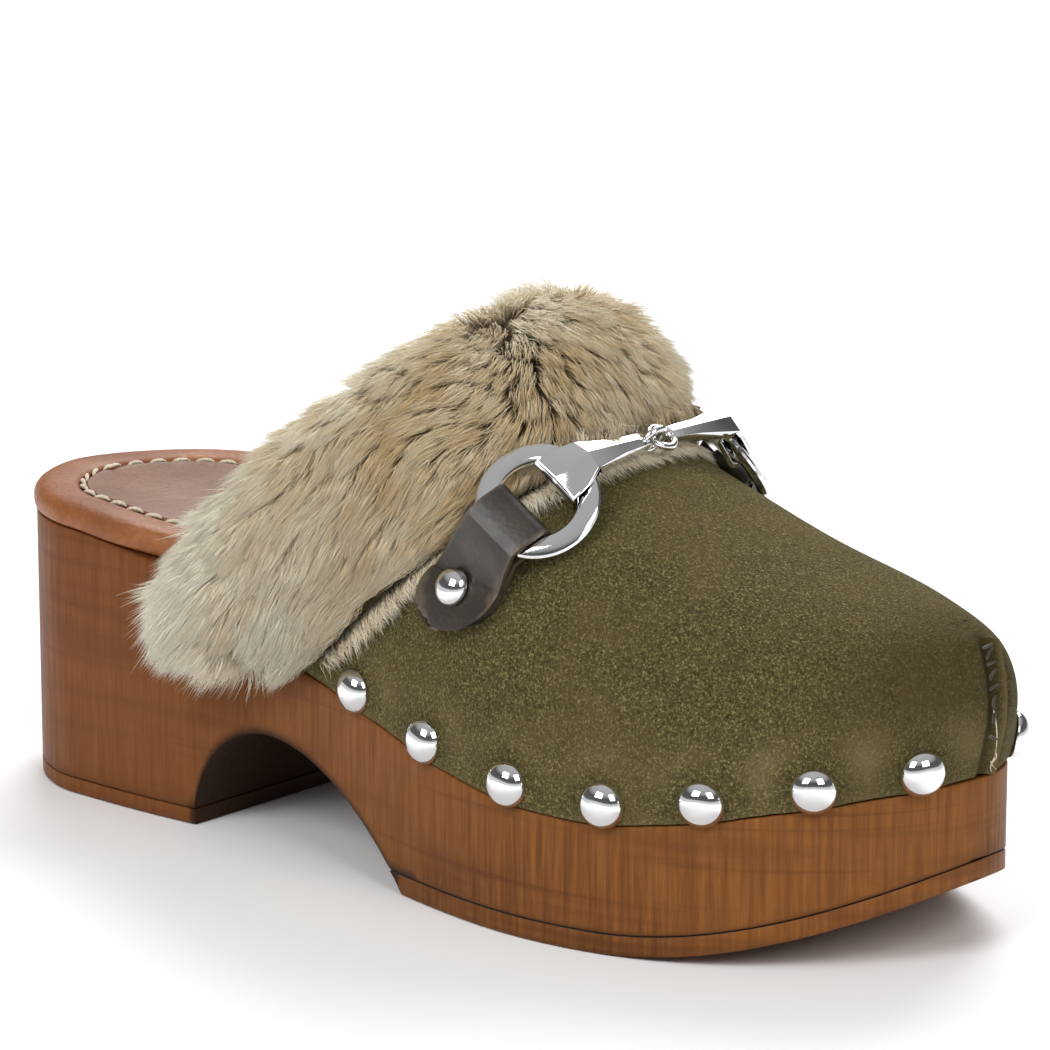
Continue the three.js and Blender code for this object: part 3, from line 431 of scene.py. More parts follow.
def newMaterial(name, colour=(0.5, 0.5, 0.5, 1), roughness=0.6, **sockets):
    material = bpy.data.materials.new(name)
    material.use_nodes = True
    shader = material.node_tree.nodes["Principled BSDF"]
    shader.inputs["Base Color"].default_value = colour
    shader.inputs["Roughness"].default_value = roughness
    for key, value in sockets.items():
        shader.inputs[key.replace("_", " ")].default_value = value
    return material, Weave(material.node_tree, shader)


class Weave:
    # short calls for the shader nodes used by every material
    def __init__(self, tree, shader):
        self.tree, self.shader = tree, shader
        self.place = tree.nodes.new("ShaderNodeTexCoord").outputs["Object"]

    def link(self, value, socket):
        if isinstance(value, (int, float, tuple)):
            socket.default_value = value
        else:
            self.tree.links.new(value, socket)

    def stretch(self, scale, turn=(0, 0, 0)):
        mapping = self.tree.nodes.new("ShaderNodeMapping")
        self.link(self.place, mapping.inputs["Vector"])
        mapping.inputs["Scale"].default_value = scale
        mapping.inputs["Rotation"].default_value = turn
        return mapping.outputs["Vector"]

    def noise(self, scale, vector=None, detail=4, rough=0.55, bend=0.0):
        texture = self.tree.nodes.new("ShaderNodeTexNoise")
        self.link(vector or self.place, texture.inputs["Vector"])
        texture.inputs["Scale"].default_value = scale
        texture.inputs["Detail"].default_value = detail
        texture.inputs["Roughness"].default_value = rough
        texture.inputs["Distortion"].default_value = bend
        return texture.outputs["Fac"]

    def cells(self, scale, feature="F1", vector=None):
        texture = self.tree.nodes.new("ShaderNodeTexVoronoi")
        texture.feature = feature
        self.link(vector or self.place, texture.inputs["Vector"])
        texture.inputs["Scale"].default_value = scale
        return texture.outputs["Distance"]

    def remap(self, value, low, high, newLow=0.0, newHigh=1.0):
        node = self.tree.nodes.new("ShaderNodeMapRange")
        node.interpolation_type = "SMOOTHSTEP"
        self.link(value, node.inputs["Value"])
        for key, number in zip(
            ("From Min", "From Max", "To Min", "To Max"), (low, high, newLow, newHigh)
        ):
            node.inputs[key].default_value = number
        return node.outputs["Result"]

    def math(self, operation, a, b):
        node = self.tree.nodes.new("ShaderNodeMath")
        node.operation = operation
        self.link(a, node.inputs[0])
        self.link(b, node.inputs[1])
        return node.outputs["Value"]

    def blend(self, share, a, b, kind="MIX"):
        node = self.tree.nodes.new("ShaderNodeMix")
        node.data_type, node.blend_type = "RGBA", kind
        self.link(share, node.inputs["Factor"])
        self.link(a, node.inputs[6])
        self.link(b, node.inputs[7])
        return node.outputs[2]

    def attribute(self, name):
        node = self.tree.nodes.new("ShaderNodeAttribute")
        node.attribute_name = name
        return node.outputs["Fac"]

    def colour(self, value):
        self.link(value, self.shader.inputs["Base Color"])

    def rough(self, value):
        self.link(value, self.shader.inputs["Roughness"])

    def bump(self, height, strength, distance, under=None):
        node = self.tree.nodes.new("ShaderNodeBump")
        self.link(height, node.inputs["Height"])
        node.inputs["Strength"].default_value = strength
        node.inputs["Distance"].default_value = distance
        if under:
            self.link(under, node.inputs["Normal"])
        self.link(node.outputs["Normal"], self.shader.inputs["Normal"])
        return node.outputs["Normal"]


def stainedWood(name="stainedWood"):
    material, weave = newMaterial(
        name, roughness=0.5, Coat_Weight=0.02, Coat_Roughness=0.3, Specular_IOR_Level=0.09
    )
    warp = weave.noise(14, detail=3)
    streaks = weave.noise(1, weave.stretch((900, 900, 42)), detail=5, rough=0.65)
    fibres = weave.noise(1, weave.stretch((2600, 2600, 130)), detail=3, rough=0.7)
    bands = weave.noise(1, weave.stretch((16, 16, 150)), detail=4, rough=0.6, bend=0.4)
    base = weave.blend(
        weave.remap(streaks, 0.3, 0.72), (0.112, 0.038, 0.012, 1), (0.245, 0.092, 0.023, 1)
    )
    base = weave.blend(weave.remap(bands, 0.44, 0.7, 0, 0.68), base, (0.080, 0.027, 0.009, 1))
    rings = weave.noise(1, weave.stretch((9, 9, 520)), detail=2, rough=0.5, bend=0.3)
    base = weave.blend(weave.remap(rings, 0.58, 0.70, 0, 0.5), base, (0.075, 0.025, 0.009, 1))
    base = weave.blend(weave.remap(fibres, 0.52, 0.8, 0, 0.45), base, (0.075, 0.025, 0.008, 1))
    base = weave.blend(weave.remap(warp, 0.35, 0.7, 0, 0.3), base, (0.31, 0.120, 0.026, 1))
    # the stain is redder and deeper towards the heel
    heelSide = weave.remap(weave.attribute("alongShoe"), 0.05, 0.8, 0.55, 0.0)
    base = weave.blend(heelSide, base, (0.165, 0.052, 0.016, 1))
    # painted shade in the arch hollow and a dark joint line above the tread, mottled by the streaks, darken the
    # wood here
    shadeAndJointEdge = weave.math(
        "ADD", weave.attribute("shadeAndJointLine"), weave.math("MULTIPLY", weave.math("SUBTRACT", streaks, 0.5), 0.55)
    )
    weave.colour(weave.blend(weave.remap(shadeAndJointEdge, 0.25, 1.0, 0, 0.93), base, (0.020, 0.011, 0.007, 1)))
    weave.rough(weave.remap(streaks, 0.2, 0.8, 0.56, 0.38))
    weave.bump(fibres, 0.35, 0.00012, weave.bump(streaks, 0.25, 0.0003))
    return material


def treadRubber():
    material, weave = newMaterial("treadRubber", roughness=0.78)
    grit = weave.noise(900, detail=4)
    scuffs = weave.noise(1, weave.stretch((60, 260, 60)), detail=5, rough=0.7)
    base = weave.blend(weave.remap(grit, 0.35, 0.7), (0.030, 0.024, 0.020, 1), (0.060, 0.048, 0.040, 1))
    weave.colour(weave.blend(weave.remap(scuffs, 0.6, 0.8, 0, 0.6), base, (0.11, 0.095, 0.08, 1)))
    ridges = weave.tree.nodes.new("ShaderNodeTexWave")
    weave.link(weave.place, ridges.inputs["Vector"])
    ridges.inputs["Scale"].default_value = 75
    ridges.inputs["Distortion"].default_value = 0.4
    weave.bump(grit, 0.35, 0.0003, weave.bump(ridges.outputs["Fac"], 0.8, 0.0006))
    return material


def brushedSuede():
    material, weave = newMaterial(
        "brushedSuede", roughness=0.96, Sheen_Weight=0.09, Sheen_Roughness=0.4, Specular_IOR_Level=0.08
    )
    weave.shader.inputs["Sheen Tint"].default_value = (0.70, 0.58, 0.36, 1)
    nap = weave.noise(1900, detail=3, rough=0.85)
    fuzz = weave.noise(900, detail=4, rough=0.8, bend=0.4)
    clouds = weave.noise(42, detail=5, rough=0.6, bend=0.5)
    stroke = weave.noise(1, weave.stretch((260, 120, 120), (0.2, 0.5, 0.1)), detail=4)
    base = weave.blend(weave.remap(fuzz, 0.3, 0.7), (0.054, 0.044, 0.016, 1), (0.113, 0.092, 0.036, 1))
    base = weave.blend(weave.remap(nap, 0.53, 0.64, 0, 0.9), base, (0.31, 0.26, 0.115, 1))
    base = weave.blend(weave.remap(nap, 0.47, 0.36, 0, 0.85), base, (0.019, 0.015, 0.005, 1))
    base = weave.blend(weave.remap(clouds, 0.42, 0.68, 0, 0.38), base, (0.135, 0.106, 0.040, 1))
    base = weave.blend(weave.remap(stroke, 0.55, 0.75, 0, 0.3), base, (0.060, 0.050, 0.021, 1))
    base = weave.blend(
        weave.math("MULTIPLY", weave.attribute("halo"), 0.6), base, (0.25, 0.205, 0.098, 1)
    )
    weave.colour(
        weave.blend(
            weave.math("MULTIPLY", weave.attribute("shadeToe"), 0.6), base, (0.045, 0.032, 0.012, 1)
        )
    )
    weave.bump(nap, 0.8, 0.0005, weave.bump(fuzz, 0.6, 0.0007, weave.bump(clouds, 0.25, 0.002)))
    return material


def liningFabric():
    material, weave = newMaterial("liningFabric", roughness=0.9, Sheen_Weight=0.3)
    threads = weave.cells(900)
    clouds = weave.noise(60, detail=3)
    base = weave.blend(weave.remap(threads, 0.1, 0.6), (0.30, 0.235, 0.16, 1), (0.21, 0.155, 0.10, 1))
    weave.colour(weave.blend(weave.remap(clouds, 0.4, 0.7, 0, 0.3), base, (0.16, 0.12, 0.08, 1)))
    weave.bump(threads, 0.4, 0.0003)
    return material


def tanLeather(name="tanLeather", light=(0.34, 0.125, 0.040, 1), deep=(0.19, 0.062, 0.019, 1)):
    material, weave = newMaterial(
        name, roughness=0.48, Coat_Weight=0.03, Coat_Roughness=0.35, Specular_IOR_Level=0.24
    )
    grain = weave.cells(760)
    creases = weave.cells(210, "F2")
    clouds = weave.noise(38, detail=5)
    base = weave.blend(weave.remap(clouds, 0.3, 0.7), deep, light)
    weave.colour(weave.blend(weave.remap(grain, 0.35, 0.75, 0, 0.4), base, deep))
    weave.rough(weave.remap(clouds, 0.3, 0.7, 0.56, 0.42))
    weave.bump(grain, 0.4, 0.00025, weave.bump(creases, 0.18, 0.0006))
    return material


def tabLeatherDark():
    material, weave = newMaterial("tabLeatherDark", roughness=0.42, Coat_Weight=0.22, Coat_Roughness=0.32)
    grain = weave.cells(900)
    clouds = weave.noise(120, detail=5)
    base = weave.blend(weave.remap(clouds, 0.35, 0.7), (0.017, 0.012, 0.008, 1), (0.036, 0.026, 0.016, 1))
    weave.colour(
        weave.blend(
            weave.math("MULTIPLY", weave.attribute("rawEdge"), 0.55), base, (0.13, 0.085, 0.05, 1)
        )
    )
    weave.rough(weave.remap(clouds, 0.3, 0.7, 0.5, 0.36))
    weave.bump(grain, 0.35, 0.0002)
    return material


def polishedChrome():
    material, weave = newMaterial("polishedChrome", (0.80, 0.805, 0.81, 1), 0.1, Metallic=1.0)
    wear = weave.noise(230, detail=6, rough=0.7)
    scratches = weave.noise(1, weave.stretch((700, 3200, 900), (0.4, 0.2, 0.9)), detail=4)
    weave.rough(
        weave.math(
            "ADD", weave.remap(wear, 0.45, 0.8, 0.05, 0.14), weave.remap(scratches, 0.6, 0.8, 0, 0.07)
        )
    )
    weave.bump(wear, 0.05, 0.0001)
    return material


def twistedThread(name, colour, dark):
    material, weave = newMaterial(name, roughness=0.75, Sheen_Weight=0.3)
    twist = weave.noise(1, weave.stretch((2400, 900, 900), (0.5, 0.6, 0.7)), detail=3)
    weave.colour(weave.blend(weave.remap(twist, 0.35, 0.65), dark, colour))
    weave.bump(twist, 0.5, 0.0002)
    return material


def plushFur():
    material, weave = newMaterial("plushFur", roughness=0.7, Sheen_Weight=0.4, Specular_IOR_Level=0.25)
    weave.shader.inputs["Sheen Tint"].default_value = (0.9, 0.84, 0.68, 1)
    along = weave.attribute("along")
    tone = weave.attribute("tone")
    deepHair = weave.blend(tone, (0.26, 0.135, 0.045, 1), (0.72, 0.56, 0.33, 1))
    paleHair = weave.blend(tone, (0.66, 0.47, 0.23, 1), (1.0, 0.97, 0.82, 1))
    weave.colour(weave.blend(weave.remap(along, 0.0, 0.55), deepHair, paleHair))
    return material


def furBacking():
    material, weave = newMaterial("furBacking", roughness=0.95, Sheen_Weight=0.3)
    mat = weave.noise(700, detail=5, rough=0.7)
    weave.colour(weave.blend(weave.remap(mat, 0.3, 0.7), (0.13, 0.088, 0.045, 1), (0.30, 0.22, 0.12, 1)))
    weave.bump(mat, 0.8, 0.001)
    return material


def plainFoam():
    material, weave = newMaterial("plainFoam", roughness=0.95)
    pores = weave.cells(800)
    weave.colour(weave.blend(weave.remap(pores, 0.2, 0.6), (0.50, 0.46, 0.38, 1), (0.36, 0.32, 0.25, 1)))
    weave.bump(pores, 0.6, 0.0004)
    return material


def stiffBoard():
    material, weave = newMaterial("stiffBoard", roughness=0.85)
    fibres = weave.noise(500, detail=5)
    weave.colour(weave.blend(weave.remap(fibres, 0.3, 0.7), (0.34, 0.27, 0.18, 1), (0.22, 0.17, 0.11, 1)))
    weave.bump(fibres, 0.5, 0.0003)
    return material


def setAttribute(piece, name, values):
    layer = piece.data.attributes.new(name, "FLOAT", "POINT")
    layer.data.foreach_set("value", np.asarray(values, np.float32))


def pointsOf(piece):
    spots = np.empty(len(piece.data.vertices) * 3)
    piece.data.vertices.foreach_get("co", spots)
    return spots.reshape(-1, 3)


wood = stainedWood()
rubber = treadRubber()
paintedEdge = stainedWood("paintedEdge")
suede = brushedSuede()
insoleLeather = tanLeather()
coverLeather = tanLeather("coverLeather", (0.235, 0.110, 0.054, 1), (0.155, 0.067, 0.031, 1))
chrome = polishedChrome()
creamThread = twistedThread("creamThread", (0.74, 0.66, 0.50, 1), (0.50, 0.42, 0.29, 1))
darkThread = twistedThread("darkThread", (0.045, 0.030, 0.018, 1), (0.016, 0.011, 0.008, 1))

# wooden sole, tread and heel piece: cross-sections from heel to toe
soleForm = {"steps": 26, "edgeRound": 0.4, "lapInset": 5.2, "lapEase": 3.5, "across": 9}


def soleStations():
    heelXs = [
        -heel["back"] * math.cos(i / soleForm["steps"] * math.pi / 2) for i in range(soleForm["steps"])
    ]
    toeXs = [mix(outer["ballReach"], toe["reach"], math.sin(i / 44 * math.pi / 2)) for i in range(1, 45)]
    middleXs = np.arange(0, outer["ballReach"] + 0.1, 2.0)
    archXs = [p[0] for p in archCurve(26)]
    xs = sorted(heelXs + [x for x in middleXs if not heel["breast"] <= x <= arch["end"]] + archXs + toeXs)
    kept = [xs[0]]
    for x in xs[1:]:
        if x - kept[-1] > 0.02:
            kept.append(x)
    return kept


archXZ = archCurve(60)


def archRoof(x):
    if not heel["breast"] < x < arch["end"]:
        return 0.0
    return float(np.interp(x, [p[0] for p in archXZ], [p[1] for p in archXZ]))


def woodFloor(x):
    if x < arch["peak"]:
        return max(heel["piece"] + tread["line"], archRoof(x))
    return max(underside(x) + tread["thickness"] + tread["line"], archRoof(x))


def sectionLoop(x, insetWalls, floorZ, insetFloor):
    # the walls as (inset, height) from the bottom up, and a flat bottom and top across the sole
    inset, top = insetWalls[-1]
    loop = []
    for share in np.linspace(0, 1, soleForm["across"])[:-1]:
        loop.append((x, mix(0, sideY(x, outer, insetFloor), share), floorZ))
    loop += [(x, sideY(x, outer, i), z) for i, z in insetWalls]
    for share in np.linspace(0, 1, 2 * soleForm["across"])[1:-1]:
        loop.append((x, mix(sideY(x, outer, inset), sideY(x, inner, inset), share), top))
    loop += [(x, sideY(x, inner, i), z) for i, z in insetWalls[::-1]]
    for share in np.linspace(1, 0, soleForm["across"])[1:]:
        loop.append((x, mix(0, sideY(x, inner, insetFloor), share), floorZ))
    return loop


def woodSection(x):
    low, high = woodFloor(x), footbed(x)
    ledge = mix(high, edgeHeight(x), ease((x - lap["start"] + soleForm["lapEase"]) / soleForm["lapEase"]))
    step = soleForm["lapInset"] * ease((x - lap["start"] + soleForm["lapEase"]) / soleForm["lapEase"])
    r = min(soleForm["edgeRound"], (ledge - low) / 4)
    walls = [(r, low), (0.3 * r, low + 0.3 * r), (0, low + r)]
    walls += [(0, mix(low + r, ledge - 0.5, share)) for share in np.linspace(0, 1, 14)[1:]]
    walls += [(0.15, ledge - 0.15), (0.5, ledge), (max(0.6, step), ledge + 0.01), (max(0.62, step), high)]
    return sectionLoop(x, walls, low, r + 0.6)


def slabSection(x, low, high, inset=0.0, r=0.5):
    r = min(r, (high - low) / 3)
    walls = [(inset + r, low), (inset + 0.3 * r, low + 0.3 * r), (inset, low + r)]
    walls += [
        (inset, mix(low + r, high - r, 0.5)), (inset, high - r), (inset + 0.3 * r, high - 0.3 * r),
        (inset + r, high)
    ]
    return sectionLoop(x, walls, low, inset + r + 0.4)


def closeEnds(piece):
    # caps the open ends of a band and turns its faces outwards
    makeActive(piece)
    bpy.ops.object.mode_set(mode="EDIT")
    bpy.ops.mesh.select_all(action="DESELECT")
    bpy.ops.mesh.select_non_manifold()
    bpy.ops.mesh.edge_face_add()
    bpy.ops.mesh.select_all(action="SELECT")
    bpy.ops.mesh.normals_make_consistent(inside=False)
    bpy.ops.object.mode_set(mode="OBJECT")


def closedBand(name, rows):
    piece = gridPiece(name, rows)
    tidyMesh(piece)
    closeEnds(piece)
    return piece


def makeWoodSole():
    tip = 0.02
    xs = soleStations()
    xs[0] += tip
    xs[-1] -= tip
    piece = closedBand("woodSole", [woodSection(x) for x in xs])
    spots = pointsOf(piece) / mm
    setAttribute(piece, "alongShoe", (spots[:, 0] + heel["back"]) / (toe["reach"] + heel["back"]))
    shadeAndJointLine = []
    for x, _, z in spots:
        arched = heel["breast"] - 1 < x < arch["end"] + 4
        above = z - woodFloor(x)
        # painted shade darkens the hollow's sides further up than the thin dark joint line on the rim over the
        # tread
        shadeAndJointLine.append(min(1.0, math.exp(-above / 2.2) if arched else 0.9 * math.exp(-above / 0.7)))
    setAttribute(piece, "shadeAndJointLine", shadeAndJointLine)
    smooth(piece, 38)
    finishPiece(piece, wood, replaces=["wood_sole"])


def treadRows(kind):
    rows = []
    for x in soleStations():
        if kind == "heel" and x <= heel["breast"] + 0.9:
            rows.append(slabSection(x, 0.0, heel["piece"], 0.0, 0.25))
        if kind == "forefoot" and x >= arch["end"] - 14:
            low = archRoof(x) if x < arch["end"] else underside(x)
            top = underside(x) + tread["thickness"]
            if top - low > 0.02:
                rows.append(slabSection(x, low, top, 0.0, 0.25))
    return rows


def makeTread(name, kind, node):
    piece = closedBand(name, treadRows(kind))
    spots = pointsOf(piece) / mm
    setAttribute(piece, "alongShoe", (spots[:, 0] + heel["back"]) / (toe["reach"] + heel["back"]))
    # the tread sides under the arch take painted shade
    setAttribute(
        piece, "shadeAndJointLine",
        np.where((spots[:, 0] > heel["breast"] - 0.5) & (spots[:, 0] < arch["end"] - 1), 0.9, 0.0)
    )
    smooth(piece, 35)
    finishPiece(piece, paintedEdge, replaces=[node])
    piece.data.materials.append(rubber)
    for face in piece.data.polygons:
        face.material_index = 1 if face.normal.z < -0.7 else 0


makeWoodSole()
makeTread("heelTopPiece", "heel", "heel_top_piece")
makeTread("forefootTread", "forefoot", "forefoot_tread")
print("wooden sole and treads are made")

# insole: rolled rim, padding, recessed cover and slanted stitches
insole = {
    "rimWidth": 10.5, "channel": 1.5, "proud": 0.6, "fullReach": 34, "padLow": 0.35, "coverLow": 3.6,
    "coverHigh": 4.8
}
rimOutline = [
    (1.0, 0.32), (0.35, 0.8), (0.1, 1.4), (0.0, 2.3), (0.0, 3.2), (0.25, 4.1), (0.8, 4.8), (1.6, 5.3), (2.6, 5.58),
    (4.2, 5.72), (6.0, 5.6), (7.8, 5.45), (9.2, 5.2), (10.1, 4.75), (10.5, 4.1), (10.5, 2.2), (10.5, 0.32),
    (5.6, 0.32),
]


def insoleInset(x):
    return mix(-insole["proud"], 5.8, ease((x - 10) / insole["fullReach"]))


def insolePoint(side, u, inset):
    x, _ = edgePoint(side, u, inset)
    return edgePoint(side, u, inset + insoleInset(x))


def ringPlaces(steps=150):
    us = [3 * i / steps for i in range(steps + 1)]
    return [(outer, u) for u in us] + [(inner, u) for u in us[::-1][1:]]


def makeInsoleRim():
    rows = []
    for side, u in ringPlaces():
        row = []
        for inset, height in rimOutline + rimOutline[:1]:
            x, y = insolePoint(side, u, inset)
            row.append((x, y, footbed(x) + height))
        rows.append(row)
    piece = gridPiece("insoleRim", rows)
    tidyMesh(piece)
    smooth(piece, 60)
    finishPiece(piece, insoleLeather, replaces=["insole_rim"])


def insoleSlab(name, low, high, material, node):
    inset = insole["rimWidth"] + insole["channel"]
    rows = []
    for i in range(121):
        u = 3 * i / 120
        (o0, o1), (n0, n1) = [
            [insolePoint(side, u, inset + extra) for extra in (0.0, 0.35)] for side in (outer, inner)
        ]
        zs = (footbed(o0[0]) + low, footbed(o0[0]) + high)
        loop = [(o0[0], o0[1], zs[0]), (o0[0], o0[1], zs[1] - 0.35), (o1[0], o1[1], zs[1])]
        for share in np.linspace(0, 1, 19)[1:-1]:
            sag = 0.5 * math.sin(math.pi * share) * (high > 4)
            loop.append((mix(o1[0], n1[0], share), mix(o1[1], n1[1], share), zs[1] - sag))
        loop += [(n1[0], n1[1], zs[1]), (n0[0], n0[1], zs[1] - 0.35), (n0[0], n0[1], zs[0])]
        for share in np.linspace(1, 0, 8)[1:]:
            loop.append((mix(o0[0], n0[0], share), mix(o0[1], n0[1], share), zs[0]))
        rows.append(loop)
    piece = closedBand(name, rows)
    smooth(piece, 45)
    finishPiece(piece, material, replaces=[node])
    return piece


stitchForm = {"length": 4.2, "radius": 0.48, "slant": 0.25, "apart": 1.0, "lift": 0.15}


def stitchPattern(length, radius):
    # one short stitch, thick in the middle, its ends tucked down
    deselectAll()
    bpy.ops.mesh.primitive_cylinder_add(
        vertices=6, radius=radius * mm, depth=length * mm, end_fill_type="TRIFAN"
    )
    piece = bpy.context.object
    piece.data.transform(Matrix.Rotation(math.pi / 2, 4, "Y"))
    bpy.ops.object.mode_set(mode="EDIT")
    for cut in (-0.3, 0, 0.3):
        bpy.ops.mesh.select_all(action="SELECT")
        bpy.ops.mesh.bisect(plane_co=(length * cut * mm, 0, 0), plane_no=(1, 0, 0))
    bpy.ops.object.mode_set(mode="OBJECT")
    for vertex in piece.data.vertices:
        share = min(1.0, abs(vertex.co.x) / (length * mm / 2))
        vertex.co.y *= 1 - 0.5 * share**3
        vertex.co.z = vertex.co.z * (1 - 0.5 * share**3) - radius * mm * 1.1 * share**3
    return piece


def removePiece(piece):
    bpy.data.objects.remove(piece, do_unlink=True)


def makeInsoleStitching():
    pattern = stitchPattern(stitchForm["length"], stitchForm["radius"])
    places = ringPlaces(420)
    line = []
    for side, u in places:
        x, y = insolePoint(side, u, insole["rimWidth"] + insole["channel"] / 2)
        line.append(Vector((x, y, footbed(x) + insole["coverHigh"] + stitchForm["lift"])))
    spots, walked, due = [], 0.0, 0.0
    for a, b in zip(line, line[1:]):
        step = (b - a).length
        while step > 0 and due <= walked + step:
            at = a.lerp(b, (due - walked) / step)
            run = (b - a).normalized()
            side = Vector((0, 0, 1)).cross(run)
            spots.append(scaled(frameAt(at, run + side * stitchForm["slant"], Vector((0, 0, 1)))))
            due += stitchForm["length"] + stitchForm["apart"]
        walked += step
    piece = copiesOf("insoleStitching", pattern, spots)
    removePiece(pattern)
    smooth(piece, 60)
    finishPiece(piece, creamThread, replaces=["insole_stitching"])


makeInsoleRim()
insoleSlab("insolePadding", insole["padLow"], 3.3, plainFoam(), "insole_padding")
insoleSlab(
    "insoleCover", insole["coverLow"], insole["coverHigh"], coverLeather, "insole_cover"
)
makeInsoleStitching()
print("insole is made")

# suede upper, its lining, and the stitched toe ridge
upperForm = {"rows": 150, "turns": 132, "dent": 0.75, "dentReach": 6.5, "puff": 0.45}
toeRidge = {
    "lift": 1.5, "width": 0.75, "groove": 0.95, "grooveAt": 2.3, "grooveWidth": 1.2, "foot": 27, "top": 72
}


def turnAt(t):
    return math.pi * mix(t, 0.5 - 0.5 * math.cos(math.pi * t), 0.35)


def studTree():
    seats = nailPlaces["outer"] + nailPlaces["inner"]
    tree = kdtree.KDTree(len(seats))
    for i, seat in enumerate(seats):
        tree.insert(seat.translation, i)
    tree.balance()
    return tree


studFinder = studTree()


def shellRows(top, bottom, rows, turns, dented=False, ahead=0.0):
    grid = []
    starts = [throatX(turnAt(t), ahead) for t in np.linspace(0, 1, turns)]
    for i in range(-1, rows + 1):
        share = math.sin(max(0, i) / rows * math.pi / 2)
        sheets = []
        for depth in (top, bottom):
            if i < 0:
                depth = (top + bottom) / 2
            sheet = []
            for t, start in zip(np.linspace(0, 1, turns), starts):
                turn = turnAt(t)
                end = toe["reach"] - upperInset(toe["reach"], turn, depth)
                x = mix(start, end, share)
                if i < 0:
                    x = start - 0.25
                p = upperPoint(x, turn, depth)
                if dented and depth == top and i > 0:
                    _, _, near = studFinder.find(p)
                    low = p.z - edgeHeight(min(p.x, toe["reach"]))
                    puff = upperForm["puff"] * math.exp(-((low - 5) / 5.5) ** 2) * clamp((near - 4) / 5)
                    dent = upperForm["dent"] * math.exp(-((near / upperForm["dentReach"]) ** 2))
                    # the raw lower edge turns out a little, unevenly
                    flare = 0.35 * math.exp(-low / 1.1) * (
                        0.6 + 0.4 * math.sin(p.x * 1.7) * math.sin(p.x * 0.53)
                    )
                    out = upperNormal(min(x, end - 0.6), clamp(turn, 0.05, math.pi - 0.05))
                    p = p + out * (puff - dent + flare)
                if dented and i > 0 and p.x > toe["reach"] - 8:
                    off = p.y - toe["tip"]
                    tall = clamp(1.25 - abs(turn - math.pi / 2) * 0.05)
                    tall *= ease((p.z - toeRidge["foot"]) / 6) * ease((toeRidge["top"] - p.z) / 9)
                    push = toeRidge["lift"] * math.exp(-((off / toeRidge["width"]) ** 2))
                    push -= toeRidge["groove"] * math.exp(
                        -(((abs(off) - toeRidge["grooveAt"]) / toeRidge["grooveWidth"]) ** 2)
                    )
                    p = p + Vector((push * tall, 0, 0))
                sheet.append(p)
            sheets.append(sheet)
        row = sheets[0] + sheets[1][::-1]
        grid.append(row + row[:1])
    return grid


def makeVamp():
    piece = gridPiece(
        "suedeVamp", shellRows(0.0, upper["suede"], upperForm["rows"], upperForm["turns"], dented=True)
    )
    tidyMesh(piece, 0.00003)
    spots = pointsOf(piece) / mm
    halo, shade = [], []
    for x, y, z in spots:
        _, _, near = studFinder.find((x, y, z))
        low = z - edgeHeight(min(x, toe["reach"]))
        between = clamp((near - 6) / 5) * math.exp(-(((low - 8) / 5.5) ** 2))
        atRidge = math.exp(-(((y - toe["tip"]) / 0.55) ** 2)) if x > toe["reach"] - 1 and z < 66 else 0
        ridgeEdge = 1.5 * atRidge
        halo.append(
            between * (0.6 + 0.4 * math.sin(x * 0.31 + y * 0.2)) + 0.5 * math.exp(-low / 0.9) + ridgeEdge
        )
        beside = x > toe["reach"] - 3 and z < 66
        groove = math.exp(-(((y - toe["tip"] + 2.4) / 1.1) ** 2)) if beside else 0
        shade.append(ease((x - 186) / 24) * (0.5 + 0.5 * ease((z - 40) / 16)) + groove)
    setAttribute(piece, "halo", halo)
    setAttribute(piece, "shadeToe", shade)
    smooth(piece, 50)
    finishPiece(piece, suede, replaces=["vamp"])


def makeLining():
    piece = gridPiece("vampLining", shellRows(upper["lining"], upper["depth"], 70, 70))
    tidyMesh(piece, 0.00003)
    smooth(piece, 50)
    finishPiece(piece, liningFabric(), replaces=["vamp_lining"])


toeStitch = {"turns": 8, "offset": 2.5, "length": 2.6, "radius": 0.34, "sink": 0.35}


def makeToeStitching():
    # needle stitches beside the pinched ridge; the loose ends at the foot of the seam are a piece of their own
    spots = []
    for i in range(toeStitch["turns"]):
        turn = mix(0.2, 1.2, i / (toeStitch["turns"] - 1))
        end = toe["reach"] - upperInset(toe["reach"], turn, 0.0)
        reach = end
        while toe["tip"] - upperPoint(reach, turn).y < toeStitch["offset"]:
            reach -= 0.02
        at, up = upperPoint(reach, turn), upperNormal(reach - 0.2, turn)
        along = (upperPoint(reach, turn + 0.05) - upperPoint(reach, turn - 0.05)).normalized()
        lean = 0.5 if i % 2 else -0.2
        spots.append(scaled(frameAt(at - up * toeStitch["sink"], along + up.cross(along) * lean, up)))
    pattern = stitchPattern(toeStitch["length"], toeStitch["radius"])
    piece = copiesOf("toeSeamStitches", pattern, spots)
    removePiece(pattern)
    smooth(piece, 60)
    finishPiece(piece, darkThread, replaces=["toe_seam_stitching"])


def strandRibbon(name, lines, radius, sides=4):
    # tapering round strands along lines of points, in millimetres
    points, faces = [], []
    for line in lines:
        first = len(points)
        count = len(line)
        for i, at in enumerate(line):
            run = (line[min(i + 1, count - 1)] - line[max(i - 1, 0)]).normalized()
            across = run.orthogonal().normalized()
            other = run.cross(across)
            r = radius * (1 - 0.7 * (i / (count - 1)) ** 2)
            for k in range(sides):
                a = 2 * math.pi * k / sides
                points.append((at + across * math.cos(a) * r + other * math.sin(a) * r) * mm)
        for i in range(count - 1):
            for k in range(sides):
                a, b = first + i * sides + k, first + i * sides + (k + 1) % sides
                faces.append((a, b, b + sides, a + sides))
        faces.append(tuple(first + k for k in range(sides))[::-1])
        faces.append(tuple(first + (count - 1) * sides + k for k in range(sides)))
    return putMesh(name, points, faces)


